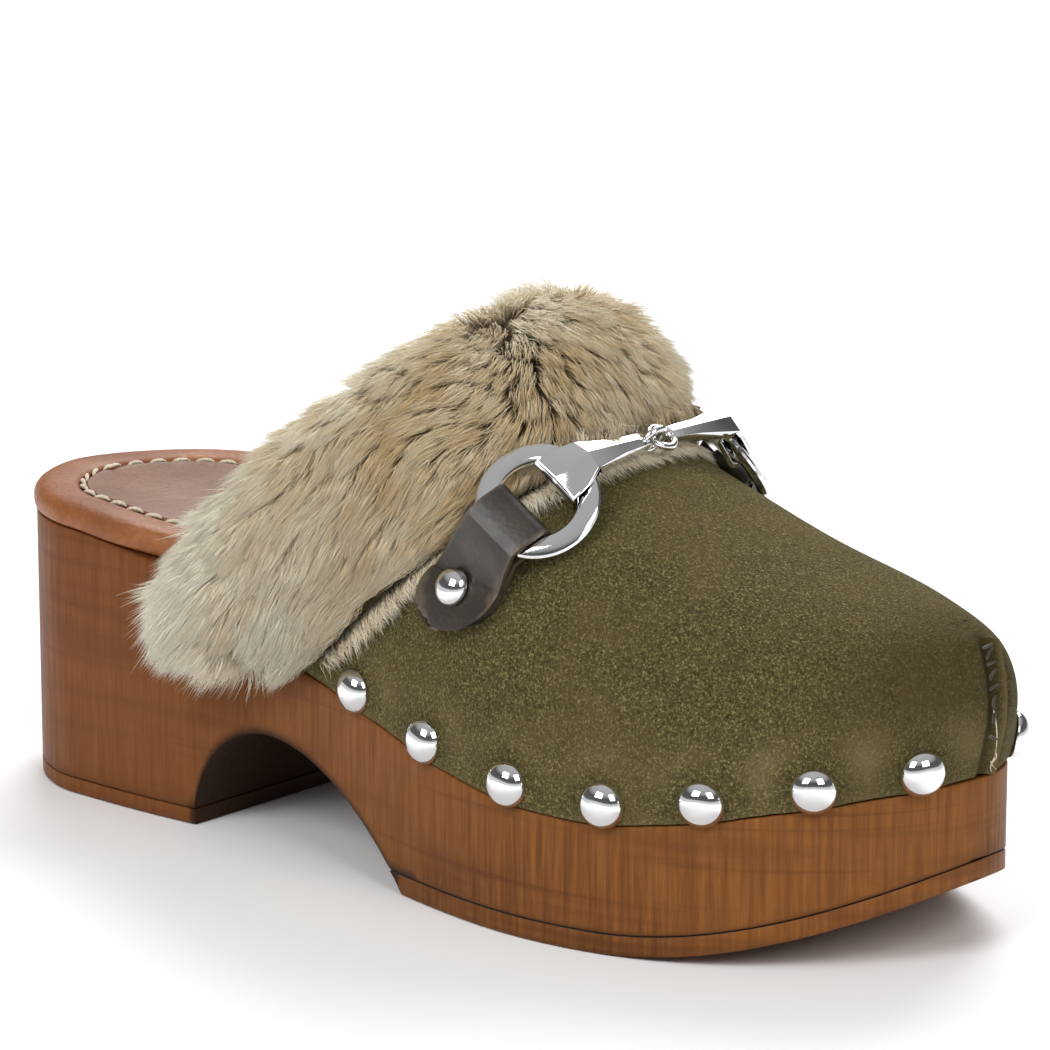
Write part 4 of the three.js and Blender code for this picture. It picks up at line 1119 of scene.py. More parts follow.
def makeToeThreads():
    lines = []
    for k in range(4):
        start, fall = (13.5, 5.0, 4.2, 3.6)[k], (10.0, 2.6, 3.0, 2.2)[k]
        line = []
        for step in range(9):
            t = step / 8
            z = edgeHeight(toe["reach"]) + start - fall * t
            sway = 0.6 * math.sin(2.6 * t + 1.7 * k) + 0.35 * k * t
            x = toe["reach"] + 0.9 + 0.5 * bulge(toe["reach"], 0.4) + 0.5 * math.sin(3 * t + k)
            line.append(Vector((x, toe["tip"] - 2.1 + sway, z)))
        lines.append(line)
    piece = strandRibbon("toeLooseThreads", lines, 0.13)
    smooth(piece, 60)
    finishPiece(piece, creamThread)


makeVamp()
makeLining()
makeToeStitching()
makeToeThreads()
print("upper is made")

# studs: domed heads on nails, modelled once and copied
studForm = {
    "profile": [
        (0, -13), (0.9, -11), (0.9, 0.3), (4.2, 0.3), (4.62, 0.42), (4.7, 0.62), (4.66, 0.86), (4.4, 1.6),
        (3.95, 2.3), (3.3, 2.92), (2.45, 3.42), (1.5, 3.7), (0.7, 3.79), (0, 3.8),
    ],
    "steps": 48,
}


def spinProfile(name, profile, steps, closed=False):
    # a profile of (radius, height) points spun about the Z axis
    deselectAll()
    bpy.ops.mesh.primitive_circle_add(vertices=len(profile), radius=1, fill_type="NOTHING")
    piece = bpy.context.object
    piece.name = name
    piece.data.name = name
    for vertex, (radius, height) in zip(piece.data.vertices, profile):
        vertex.co = (radius * mm, 0, height * mm)
    bpy.ops.object.mode_set(mode="EDIT")
    if not closed:
        mesh = bmesh.from_edit_mesh(piece.data)
        mesh.verts.ensure_lookup_table()
        mesh.edges.remove(mesh.edges.get((mesh.verts[0], mesh.verts[len(profile) - 1])))
        bmesh.update_edit_mesh(piece.data)
    bpy.ops.mesh.select_all(action="SELECT")
    bpy.ops.mesh.spin(steps=steps, angle=2 * math.pi, center=(0, 0, 0), axis=(0, 0, 1))
    bpy.ops.mesh.select_all(action="SELECT")
    bpy.ops.mesh.remove_doubles(threshold=0.000004)
    bpy.ops.mesh.normals_make_consistent(inside=False)
    bpy.ops.object.mode_set(mode="OBJECT")
    return piece


def copyInto(pattern, name, spot):
    piece = pattern.copy()
    piece.data = pattern.data.copy()
    piece.name = name
    piece.data.name = name
    bpy.context.scene.collection.objects.link(piece)
    piece.data.transform(scaled(spot))
    return piece


def makeStuds():
    pattern = spinProfile("studPattern", studForm["profile"], studForm["steps"])
    smooth(pattern, 35)
    for name, spots in nailPlaces.items():
        for i, spot in enumerate(spots):
            piece = copyInto(pattern, f"{name}Stud{i + 1}", spot)
            # hand-set nails: each head sits a touch unevenly
            tilt = Matrix.Rotation(0.035 * math.sin(5.1 * i), 4, "X")
            tilt = tilt @ Matrix.Rotation(0.03 * math.cos(3.7 * i), 4, "Y")
            local = scaled(spot)
            piece.data.transform(local @ tilt @ local.inverted())
            finishPiece(piece, chrome, replaces=[f"{name}_stud_{i + 1}"])
    removePiece(pattern)


makeStuds()
print("studs are made")

# snaffle bit: two flat rings on leather tabs, joined by a linked bar, in one plane across the instep
bit = {
    "reach": 132.5, "steepness": 1.5, "ringRadius": 12.3, "ringBand": 4.3, "ringThickness": 2, "ringAcross": 26.5,
    "standOff": 5.1, "barWidth": 11.6, "barThickness": 1.0, "barPlay": 0.8, "eyeRadius": 2.8, "eyeWire": 0.8,
    "eyeStandOff": 4.3, "overlap": 1.3,
}
tab = {"width": 13.5, "round": 8.8, "leather": 1.3, "play": 0.5, "lift": 0.6, "run": 9.4}
rivet = {
    "radius": 3.8, "dome": 2.8, "shank": 1.1, "foot": 1.9, "footHeight": 0.7, "seat": 0.3, "through": 6.6
}
bitForwards = Vector((bit["steepness"], 0, -1)).normalized()
bitOutwards = Vector((1, 0, bit["steepness"])).normalized()
bitMiddle = (sideY(bit["reach"], outer) + sideY(bit["reach"], inner)) / 2
bitOrigin = Vector((bit["reach"], bitMiddle, ridge(bit["reach"])))


def bitPoint(side, forward, across, height):
    return bitOrigin + bitForwards * forward + Vector(
        (0, side["side"] * across, 0)
    ) + bitOutwards * height


def upperHeight(side, forward, across):
    low, high = -80.0, 20.0
    for _ in range(26):
        z = (low + high) / 2
        if insideUpper(bitPoint(side, forward, across, z)):
            low = z
        else:
            high = z
    return low


def instepSection(side, forward=0.0):
    # the upper's curve in the bit's plane; returns a point beside it by distance along and height above
    points = [Vector((i / 2, upperHeight(side, forward, i / 2))) for i in range(85)]

    def beside(start, distance, height):
        i, left = round(start * 2), distance
        while i + 1 < 84 and left > (points[i + 1] - points[i]).length:
            left -= (points[i + 1] - points[i]).length
            i += 1
        run = (points[min(84, i + 1)] - points[max(0, i - 1)]).normalized()
        at = points[i] + run * left + Vector((-run.y, run.x)) * height
        return at, run

    return beside


class RingSeat:
    # the ring's own plane, seen in the bit's plane
    def __init__(self, side):
        self.side = side
        self.middle, self.out = instepSection(side)(bit["ringAcross"], 0, bit["standOff"])
        self.up = Vector((-self.out.y, self.out.x))

    def at(self, across, height):
        return self.middle + self.out * across + self.up * height

    def frame(self):
        centre = bitPoint(self.side, 0, *self.middle)
        right = bitPoint(self.side, 0, *(self.middle + self.out)) - centre
        return frameAt(centre, right, bitPoint(self.side, 0, *(self.middle + self.up)) - centre)


def loftLoops(name, loops, bevel=0.0, segments=2):
    # closed loops of points side by side, capped at both ends
    rows = [loop + loop[:1] for loop in loops]
    piece = gridPiece(name, rows)
    tidyMesh(piece, 0.000005)
    closeEnds(piece)
    if bevel:
        applyModifier(
            piece, "BEVEL", width=bevel * mm, segments=segments, limit_method="ANGLE",
            angle_limit=math.radians(38)
        )
    return piece


def makeRing(name, seat):
    inside, half = bit["ringRadius"] - bit["ringBand"], bit["ringThickness"] / 2
    r = bit["ringRadius"]
    profile = [
        (inside, 0.15 - half * 0.5), (inside + 0.25, -half + 0.12), (inside + 0.7, -half),
        (r - 1.1, -half), (r - 0.35, -half + 0.3),
        (r, -0.25), (r, 0.25), (r - 0.35, half - 0.3), (r - 1.1, half), (inside + 0.7, half),
        (inside + 0.25, half - 0.12), (inside, half * 0.5 - 0.15),
    ]
    piece = spinProfile(f"{name}BitRing", profile, 96, closed=True)
    piece.data.transform(scaled(seat.frame()))
    smooth(piece, 28)
    finishPiece(piece, chrome, body=f"{name}_ring", replaces=[f"{name}_bit_ring"])


def smoothPath(points, steps):
    # a Catmull-Rom curve through points of any size
    fine = []
    for i in range(len(points) - 1):
        p0, p3 = points[max(0, i - 1)], points[min(len(points) - 1, i + 2)]
        p1, p2 = points[i], points[i + 1]
        for k in range(steps):
            t = k / steps
            square, cube = 2 * p0 - 5 * p1 + 4 * p2 - p3, 3 * p1 - p0 - 3 * p2 + p3
            fine.append(0.5 * (2 * p1 + (p2 - p0) * t + square * t * t + cube * t**3))
    return fine + [points[-1]]


def strapLoop(side, path, half):
    # both faces of a strap that follows a path of (forward, (across, height)) points
    points = smoothPath([Vector((f, p.x, p.y)) for f, p in path], 2)
    faces = {1: [], -1: []}
    for i, at in enumerate(points):
        run = points[min(i + 1, len(points) - 1)] - points[max(0, i - 1)]
        flat = Vector((run.y, run.z)).normalized()
        for sign, face in faces.items():
            face.append(bitPoint(side, at.x, at.y - flat.y * half * sign, at.z + flat.x * half * sign))
    return faces[1] + faces[-1][::-1]


def makeTab(side, name, seat):
    inside, half = bit["ringRadius"] - bit["ringBand"], bit["ringThickness"] / 2
    rivetAt = bit["ringRadius"] + tab["run"]
    layer = tab["lift"] + tab["leather"]
    stack = layer + 0.3 + tab["leather"]
    foldTip = math.sqrt(inside**2 - (tab["width"] / 2) ** 2) - tab["play"]
    bendAt = bit["ringRadius"] - 0.6
    spread = [-3.8 - 0.5, -2.1, 0, 0.2, 0.35, 0.55, 0.7, 0.82, 0.92, 0.97, 1.0]
    laid = [rivetAt + (d if d < 0 else d * tab["round"]) for d in spread]
    loops = []

    def halfWidth(d):
        if d > rivetAt:
            return math.sqrt(max(0.0, tab["round"] ** 2 - (d - rivetAt) ** 2))
        return mix(
            tab["width"] / 2, tab["round"], ease((d - bit["ringRadius"]) / (rivetAt - bit["ringRadius"]))
        )

    for share in (-1, -0.9, -0.75, -0.55, -0.3, 0, 0.3, 0.55, 0.75, 0.9, 1):
        onUpper = {}
        forward = {d: share * halfWidth(d) for d in laid}
        sections = {f: instepSection(side, f) for f in set(forward.values())}
        for level in (tab["lift"] + tab["leather"] / 2, layer + 0.3 + tab["leather"] / 2):
            onUpper[level] = [
                (forward[d], sections[forward[d]](bit["ringAcross"], d, level)[0]) for d in laid
            ]
        lower, higher = onUpper.values()
        near = share * tab["width"] / 2
        bendHalf = half + tab["play"] + tab["leather"] / 2
        curl = [math.pi / 2 * (1 - k / 4) for k in range(9)]
        foldMiddle = foldTip + bendHalf - tab["leather"] / 2
        wrap = [
            (near, seat.at(foldMiddle - bendHalf * math.cos(a), -bendHalf * math.sin(a))) for a in curl
        ]
        under, over = (near, seat.at(bendAt, -bendHalf)), (near, seat.at(bendAt, bendHalf))
        path = lower[::-1] + [under] + wrap + [over] + higher
        loops.append(strapLoop(side, path, tab["leather"] / 2))
    piece = loftLoops(f"{name}RingTab", loops, 0.22)
    # the cut sides show the raw leather: those points lie at the strap's greatest width
    edge = []
    seatAt = instepSection(side)(bit["ringAcross"], rivetAt, stack)[0]
    for spot in pointsOf(piece) / mm:
        offset = Vector(spot) - bitOrigin
        forward, height = offset.dot(bitForwards), offset.dot(bitOutwards)
        across = side["side"] * offset.y
        along = rivetAt + (Vector((across, height)) - seatAt).length * (1 if height < seatAt.y else -1)
        edge.append(
            1.0 if abs(forward) > halfWidth(min(along, rivetAt + tab["round"] - 0.05)) - 0.16 else 0.0
        )
    setAttribute(piece, "rawEdge", edge)
    smooth(piece, 50)
    finishPiece(piece, tabLeather, replaces=[f"{name}_ring_tab"])


def makeRivet(side, name):
    rivetAt = bit["ringRadius"] + tab["run"]
    section, ahead = instepSection(side), instepSection(side, 1)
    at, run = section(bit["ringAcross"], rivetAt, 0)
    near, _ = ahead(bit["ringAcross"], rivetAt, 0)
    origin = bitPoint(side, 0, at.x, at.y)
    right = bitPoint(side, 0, at.x + run.x, at.y + run.y) - origin
    up = (bitPoint(side, 1, near.x, near.y) - origin).cross(right) * -side["side"]
    up = up if up.dot(bitPoint(side, 0, at.x - run.y, at.y + run.x) - origin) > 0 else -up
    stack = tab["lift"] + 2 * tab["leather"] + 0.3
    base, end = stack + rivet["seat"], -rivet["through"]
    r, h, foot, shank = rivet["radius"], rivet["dome"], rivet["foot"], rivet["shank"]
    profile = [
        (0, end - rivet["footHeight"]), (foot, end - rivet["footHeight"]), (foot, end), (shank, end)
    ]
    profile += [(shank, base), (r - 0.25, base), (r, base + 0.2)]
    for t in (0.12, 0.25, 0.4, 0.55, 0.7, 0.85):
        turn = t * math.pi / 2
        profile.append((r * math.cos(turn), base + 0.2 + (h - 0.2) * math.sin(turn)))
    profile += [(0, base + h)]
    piece = spinProfile(f"{name}TabRivet", profile, 40)
    piece.data.transform(scaled(frameAt(origin, right, up)))
    smooth(piece, 35)
    finishPiece(piece, chrome, replaces=[f"{name}_tab_rivet"])


def makeBar(side, name, seat):
    inside, half = bit["ringRadius"] - bit["ringBand"], bit["ringThickness"] / 2
    room, thick = half + bit["barPlay"], bit["barThickness"]
    hookTip = -math.sqrt(inside**2 - (bit["barWidth"] / 2) ** 2) + 0.5 * bit["barPlay"]
    hookEnd = -bit["ringRadius"] - bit["barPlay"]
    eyeAt = Vector((bit["overlap"], bit["eyeStandOff"]))
    neckEnd = eyeAt.x + bit["eyeRadius"] - bit["eyeWire"] / 2
    neckHalf = 1.2
    hookReach, hookStart = seat.at(hookTip + thick, 0).x, seat.at(hookEnd, 0).x
    plan = [(neckEnd - 1, 1.5), (mix(hookStart, neckEnd, 0.5), 2.0), (hookStart, 0.25 * bit["barWidth"]),
            (mix(hookStart, hookReach, 0.5), 0.37 * bit["barWidth"]),
            (hookReach - 1, bit["barWidth"] / 2), (hookReach + 4, bit["barWidth"] / 2)]
    plan.sort()
    skin = [
        (seat.at(hookTip + thick, -room), 0), (seat.at(hookTip + thick, room), 0),
        (seat.at(hookTip + thick * 0.4, room + thick * 0.8), 0),
        (seat.at(hookTip, room + thick), 0.25), (seat.at(mix(hookTip, hookEnd, 0.5), room + thick), 0.8),
        (seat.at(hookEnd, room + thick), 0.9), (
            Vector(
                (
                    mix(hookStart, neckEnd, 0.5),
                    mix(seat.at(hookEnd, room + thick).y, eyeAt.y + neckHalf, 0.5)
                )
            ),
            0.7
        ),
        (Vector((neckEnd + 3, eyeAt.y + neckHalf)), 0.3),
        (Vector((neckEnd, eyeAt.y + neckHalf * 0.8)), 0),
        (Vector((neckEnd, eyeAt.y - neckHalf * 0.8)), 0), (Vector((neckEnd + 3, eyeAt.y - neckHalf)), 0),
        (seat.at(hookEnd - thick, -room), 0), (seat.at(hookEnd, -room - thick), 0),
        (seat.at(hookTip, -room - thick), 0), (seat.at(hookTip + thick * 0.7, -room - thick * 0.7), 0),
    ]
    hollow = [
        seat.at(hookTip, -room), seat.at(hookEnd, -room), seat.at(hookEnd, room), seat.at(hookTip, room)
    ]
    loops = []
    # a low crest runs along the middle of the bar, with a flat facet on each side
    for share in (-1, -0.94, -0.55, -0.12, 0, 0.12, 0.55, 0.94, 1):
        crest = 1 - abs(share)
        loop = []
        for p, lift in skin:
            wide = float(np.interp(p.x, [s[0] for s in plan], [s[1] for s in plan]))
            height = p.y + lift * (crest - 0.55) * 0.9
            loop.append(bitPoint(side, share * wide, p.x, height))
        loops.append((loop, share))
    # the hollow is cut from the block so that the ring can pass
    block = loftLoops(f"{name}BitBar", [loop for loop, _ in loops])
    cutter = loftLoops(
        "barHollow",
        [[bitPoint(side, w, p.x, p.y) for p in hollow] for w in (-bit["barWidth"], bit["barWidth"])]
    )
    applyModifier(block, "BOOLEAN", operation="DIFFERENCE", solver="EXACT", object=cutter)
    removePiece(cutter)
    tidyMesh(block, 0.000004)
    applyModifier(
        block, "BEVEL", width=0.16 * mm, segments=2, limit_method="ANGLE", angle_limit=math.radians(24)
    )
    deselectAll()
    bpy.ops.mesh.primitive_torus_add(
        major_radius=bit["eyeRadius"] * mm, minor_radius=bit["eyeWire"] * mm,
        major_segments=40, minor_segments=14,
    )
    eye = bpy.context.object
    if side is outer:
        eye.data.transform(Matrix.Rotation(math.pi / 2, 4, "Y"))
    # X of the eye lies forward, Y across and Z out of the instep
    centre = bitPoint(side, 0, eyeAt.x, eyeAt.y)
    across = Vector((0, side["side"], 0))
    spot = Matrix((
        (bitForwards.x, across.x, bitOutwards.x, centre.x),
        (bitForwards.y, across.y, bitOutwards.y, centre.y),
        (bitForwards.z, across.z, bitOutwards.z, centre.z), (0, 0, 0, 1),
    ))
    eye.data.transform(scaled(spot))
    if side["side"] < 0:
        eye.data.flip_normals()
    deselectAll()
    eye.select_set(True)
    block.select_set(True)
    bpy.context.view_layer.objects.active = block
    bpy.ops.object.join()
    smooth(block, 32)
    finishPiece(block, chrome, body=f"{name}_bar", replaces=[f"{name}_bit_bar"])


tabLeather = tabLeatherDark()
bitSeats = [(sideForm, RingSeat(sideForm)) for sideForm in (outer, inner)]
for (sideForm, ringSeat), sideName in zip(bitSeats, ("outer", "inner")):
    makeRing(sideName, ringSeat)
    makeTab(sideForm, sideName, ringSeat)
    makeRivet(sideForm, sideName)
    makeBar(sideForm, sideName, ringSeat)
print("snaffle bit is made")

# fur collar: a padded roll with a pile of tapering hairs set on it in clumps
collar = {
    "seam": 6.5, "voxel": 0.0026, "frames": 14, "moveCap": 0.0016, "keptMove": 0.55, "pressure": 4,
    "tension": 30, "bending": 4,
}
seamStitch = {"count": 44, "length": 4.6, "radius": 0.42, "ahead": 7.7}
pile = {
    "hairs": 124000, "clumps": 1500, "length": 8.8, "lengthSpread": 0.22, "root": 0.088, "draw": 0.5,
    "curl": 1.2, "sink": 0.5, "keepClear": 0.35, "perPiece": 19500, "creamBehind": 98, "seamClear": 0.3,
    "fringe": 5200, "fringeLength": 6.4,
}


def seamFrame(turn, ahead, lift):
    e = 0.01
    a, b = clamp(turn - e, 0, math.pi), clamp(turn + e, 0, math.pi)
    run = (upperPoint(throatX(b, ahead), b) - upperPoint(throatX(a, ahead), a)).normalized()
    x = throatX(turn, ahead)
    out = upperNormal(x, clamp(turn, 0.06, math.pi - 0.06))
    out = (out - run * out.dot(run)).normalized()
    if out.z < -0.01 or out.y * math.copysign(1, math.cos(turn)) > 0.3:
        out = -out
    slope = Vector((-throatSlope, 0, 1)).normalized()
    inSurface = run.cross(out)
    if inSurface.x > 0:
        inSurface = -inSurface
    edgeRun = Vector((-1, 0, (edgeHeight(x - 20) - edgeHeight(x)) / 20)).normalized()
    back = (inSurface + slope).normalized().lerp(
        edgeRun, (1 - max(0.0, math.sin(turn))) ** 3
    ).normalized()
    out2 = (out - back * out.dot(back)).normalized()
    return upperPoint(x, turn) + out2 * lift, back, out2, run


def makeCollarRoll():
    source = bpy.data.objects["fur_collar"]
    deselectAll()
    roll = source.copy()
    roll.data = source.data.copy()
    roll.name = "furCollarRoll"
    roll.data.name = "furCollarRoll"
    bpy.context.scene.collection.objects.link(roll)
    tidyMesh(roll)
    applyModifier(roll, "REMESH", mode="VOXEL", voxel_size=collar["voxel"], use_smooth_shade=True)
    resting = pointsOf(roll)
    makeActive(roll)
    puff = roll.modifiers.new("puff", "CLOTH")
    puff.settings.use_pressure = True
    puff.settings.uniform_pressure_force = collar["pressure"]
    puff.settings.effector_weights.gravity = 0
    puff.settings.tension_stiffness = collar["tension"]
    puff.settings.bending_stiffness = collar["bending"]
    puff.point_cache.frame_start, puff.point_cache.frame_end = 1, collar["frames"]
    for number in range(1, collar["frames"] + 1):
        bpy.context.scene.frame_set(number)
    bpy.ops.object.modifier_apply(modifier=puff.name)
    bpy.context.scene.frame_set(1)
    moved = pointsOf(roll) - resting
    reach = np.linalg.norm(moved, axis=1, keepdims=True)
    moved *= np.minimum(1, collar["moveCap"] / np.maximum(reach, 1e-9))
    roll.data.vertices.foreach_set("co", (resting + moved * collar["keptMove"]).ravel())
    roll.data.update()
    makeActive(roll)
    smooth(roll, 180)
    finishPiece(roll, furBack, replaces=["fur_collar"])
    return roll


def surfaceSamples(piece, count):
    # even random places on a piece's faces, with normals, in millimetres
    mesh = piece.data
    mesh.calc_loop_triangles()
    triangles = np.array([t.vertices[:] for t in mesh.loop_triangles])
    spots = pointsOf(piece) / mm
    normals = np.array([v.normal[:] for v in mesh.vertices])
    a, b, c = (spots[triangles[:, k]] for k in range(3))
    area = np.linalg.norm(np.cross(b - a, c - a), axis=1)
    chosen = rng.choice(len(triangles), count, p=area / area.sum())
    u, v = rng.random(count), rng.random(count)
    flip = u + v > 1
    u[flip], v[flip] = 1 - u[flip], 1 - v[flip]
    w = 1 - u - v
    at = a[chosen] * w[:, None] + b[chosen] * u[:, None] + c[chosen] * v[:, None]
    n = sum(normals[triangles[chosen, k]] * weight[:, None] for k, weight in enumerate((w, u, v)))
    return at, n / np.linalg.norm(n, axis=1, keepdims=True)


def unit(vectors):
    return vectors / np.maximum(np.linalg.norm(vectors, axis=-1, keepdims=True), 1e-9)


def waves(at, seed):
    # a smooth random vector for every place
    maker = np.random.default_rng(seed)
    total = np.zeros_like(at)
    for scale in (0.055, 0.11, 0.21):
        for axis in range(3):
            way = maker.normal(size=3) * scale
            total[:, axis] += np.sin(at @ way + maker.random() * 6.28) * (0.075 / scale) ** 0.5
    return total / 2.2


def blocked(at, low):
    # places that lie against the upper, the sole or the insole carry no pile
    keep = np.ones(len(at), bool)
    for i, (x, y, z) in enumerate(at):
        inSole = x < toe["reach"] and sideY(x, outer) - low < y < sideY(x, inner) + low
        if inSole and z < footbed(x) + 5.6 + low:
            keep[i] = False
        elif underUpper(Vector((x + low, y * 0.985, z - low))):
            keep[i] = False
    return ~keep


hairFlow = {
    "crest": 36, "forward": 0.34, "back": 0.42, "side": 0.3, "down": 0.5, "swirl": 0.5, "leastLean": 0.6,
    "stand": 0.5,
}
hairRoom = {
    "beside": 0.8, "under": 2.8, "wrapUnder": 4.2, "wrapHalf": 6.6, "eyes": 4.5, "eyesHalf": 3.8,
    "eyesUnder": 0.6
}


def bitRoom(at, side, seat):
    # how high places stand over the bit's underside, and which of them are where the bit is or passes
    offset = at - np.array(bitOrigin)
    forward, across = np.abs(offset @ np.array(bitForwards)), offset[:, 1] * side["side"]
    along = (across - seat.middle.x) / seat.out.x
    reach = bit["ringRadius"] + hairRoom["beside"]
    ringHalf = np.sqrt(np.maximum(0, reach**2 - along**2))
    eyes = hairRoom["eyes"]
    barHalf = np.interp(
        across, [-1, -0.9, eyes, eyes + 0.5, seat.middle.x, seat.middle.x + 0.1],
        [0, hairRoom["eyesHalf"], hairRoom["eyesHalf"], 2.6, hairRoom["wrapHalf"], 0],
    )
    deep = np.where(forward < hairRoom["wrapHalf"], hairRoom["wrapUnder"], hairRoom["under"]) / seat.up.y
    ringUnder = seat.middle.y + along * seat.out.y - deep
    hook = seat.at(-reach, -hairRoom["wrapUnder"])
    barUnder = np.interp(
        across, [eyes, eyes + 0.5, hook.x], [hairRoom["eyesUnder"], bit["eyeStandOff"] - 2.2, hook.y]
    )
    over = offset @ np.array(bitOutwards) - np.where(along > -reach, ringUnder, barUnder)
    return over, (forward < np.maximum(ringHalf, barHalf)) & (over > 0)


def clearOfBit(roots, middles, tips):
    # hairs that reach the bit lie under it, or end in front of it when they come from above
    keep = np.ones(len(roots), bool)
    for side, seat in bitSeats:
        rootOver, rootIn = bitRoom(roots, side, seat)
        keep &= ~rootIn
        meets = np.ones(len(roots))
        for share in (0.9, 0.75, 0.6, 0.45, 0.3):
            meets[bitRoom(roots + (tips - roots) * share, side, seat)[1]] = share - 0.12
        above = (rootOver > 0.5) & ((meets < 1) | bitRoom(tips, side, seat)[1])
        cut = np.where(above, np.minimum(meets, 0.85), 1)[:, None]
        tips = roots + (tips - roots) * cut
        middles = roots + (middles - roots) * cut
        keep &= cut[:, 0] > 0.3
        for points in (middles, tips):
            over, inside = bitRoom(points, side, seat)
            points[inside] -= over[inside, None] * np.array(bitOutwards)
    return keep, middles, tips


def hairDirections(at, normals):
    # the pile leans down, forwards over the instep and backwards along the sides
    sideways = np.clip((at[:, 1] - bitOrigin.y) / hairFlow["crest"], -1, 1)
    flow = np.zeros_like(at)
    flow[:, 0] = hairFlow["forward"] - (hairFlow["forward"] + hairFlow["back"]) * np.abs(sideways)
    flow[:, 1] = sideways * hairFlow["side"]
    flow[:, 2] = -hairFlow["down"]
    lean = flow + waves(at, 3) * hairFlow["swirl"]
    lean -= normals * np.sum(lean * normals, axis=1, keepdims=True)
    length = np.linalg.norm(lean, axis=1, keepdims=True)
    lean *= np.maximum(1, hairFlow["leastLean"] / np.maximum(length, 1e-6))
    return unit(normals * hairFlow["stand"] + lean)


def buildHairs(name, roots, middles, tips, width, tone):
    # each hair is a tapering three-sided spike bent at its middle
    count = len(roots)
    run = unit(tips - roots)
    side = unit(np.cross(run, rng.normal(size=(count, 3))))
    other = np.cross(run, side)
    rings = []
    for centre, share in ((roots, 1.0), (middles, 0.8)):
        for k in range(3):
            a = 2 * math.pi * k / 3
            rings.append(centre + (side * math.cos(a) + other * math.sin(a)) * (width * share)[:, None])
    points = np.stack(rings + [tips], axis=1).reshape(-1, 3) * mm
    quads = [(0, 1, 4, 3), (1, 2, 5, 4), (2, 0, 3, 5)]
    ends = [(3, 4, 6), (4, 5, 6), (5, 3, 6), (0, 2, 1)]
    base = np.arange(count)[:, None] * 7
    loops = np.concatenate([base + np.array(f)[None] for f in quads + ends], axis=1)
    sizes = np.tile([4, 4, 4, 3, 3, 3, 3], count)
    mesh = bpy.data.meshes.new(name)
    mesh.vertices.add(len(points))
    mesh.vertices.foreach_set("co", points.ravel())
    mesh.loops.add(loops.size)
    mesh.loops.foreach_set("vertex_index", loops.ravel().astype(np.int32))
    mesh.polygons.add(len(sizes))
    starts = np.concatenate([[0], np.cumsum(sizes)[:-1]])
    mesh.polygons.foreach_set("loop_start", starts.astype(np.int32))
    mesh.update(calc_edges=True)
    mesh.validate()
    piece = bpy.data.objects.new(name, mesh)
    bpy.context.scene.collection.objects.link(piece)
    setAttribute(piece, "along", np.tile([0, 0, 0, 0.55, 0.55, 0.55, 1.0], count))
    setAttribute(piece, "tone", np.repeat(tone, 7))
    makeActive(piece)
    bpy.ops.object.shade_smooth()
    finishPiece(piece, fur)
    return piece


def liftOutOfSolids(points, clearance):
    # hair points that sink into the upper or the sole are pushed back outside
    for i in range(len(points)):
        x, y, z = points[i]
        if x >= toe["reach"]:
            continue
        p = Vector((x, y, z))
        if z < footbed(x) + 0.5 and sideY(x, outer) - clearance < y < sideY(x, inner) + clearance:
            side = outer if y < bitOrigin.y else inner
            points[i, 1] = sideY(x, side) + side["side"] * clearance
        elif underUpper(p):
            yO, yI = sideY(x, outer), sideY(x, inner)
            low = edgeHeight(x) + upper["gap"]
            share = max(abs(y - (yO + yI) / 2) / ((yI - yO) / 2), 1e-4)
            tall = max((z - low) / (ridge(x) - low), 1e-4)
            power = boxiness(x)
            reach = (share**power + tall**power) ** (1 / power)
            mid = (yO + yI) / 2
            points[i, 1] = mid + (y - mid) / reach * (1 + clearance / 40)
            points[i, 2] = low + (z - low) / reach * (1 + clearance / 40)
    return points


throatNormal = np.array([throatSlope, 0, -1]) / math.hypot(throatSlope, 1)


def aheadOfThroat(at):
    # distance in front of the plane of the upper's open back
    return (at - np.array([upper["sideReach"], 0, edgeHeight(upper["sideReach"])])) @ throatNormal


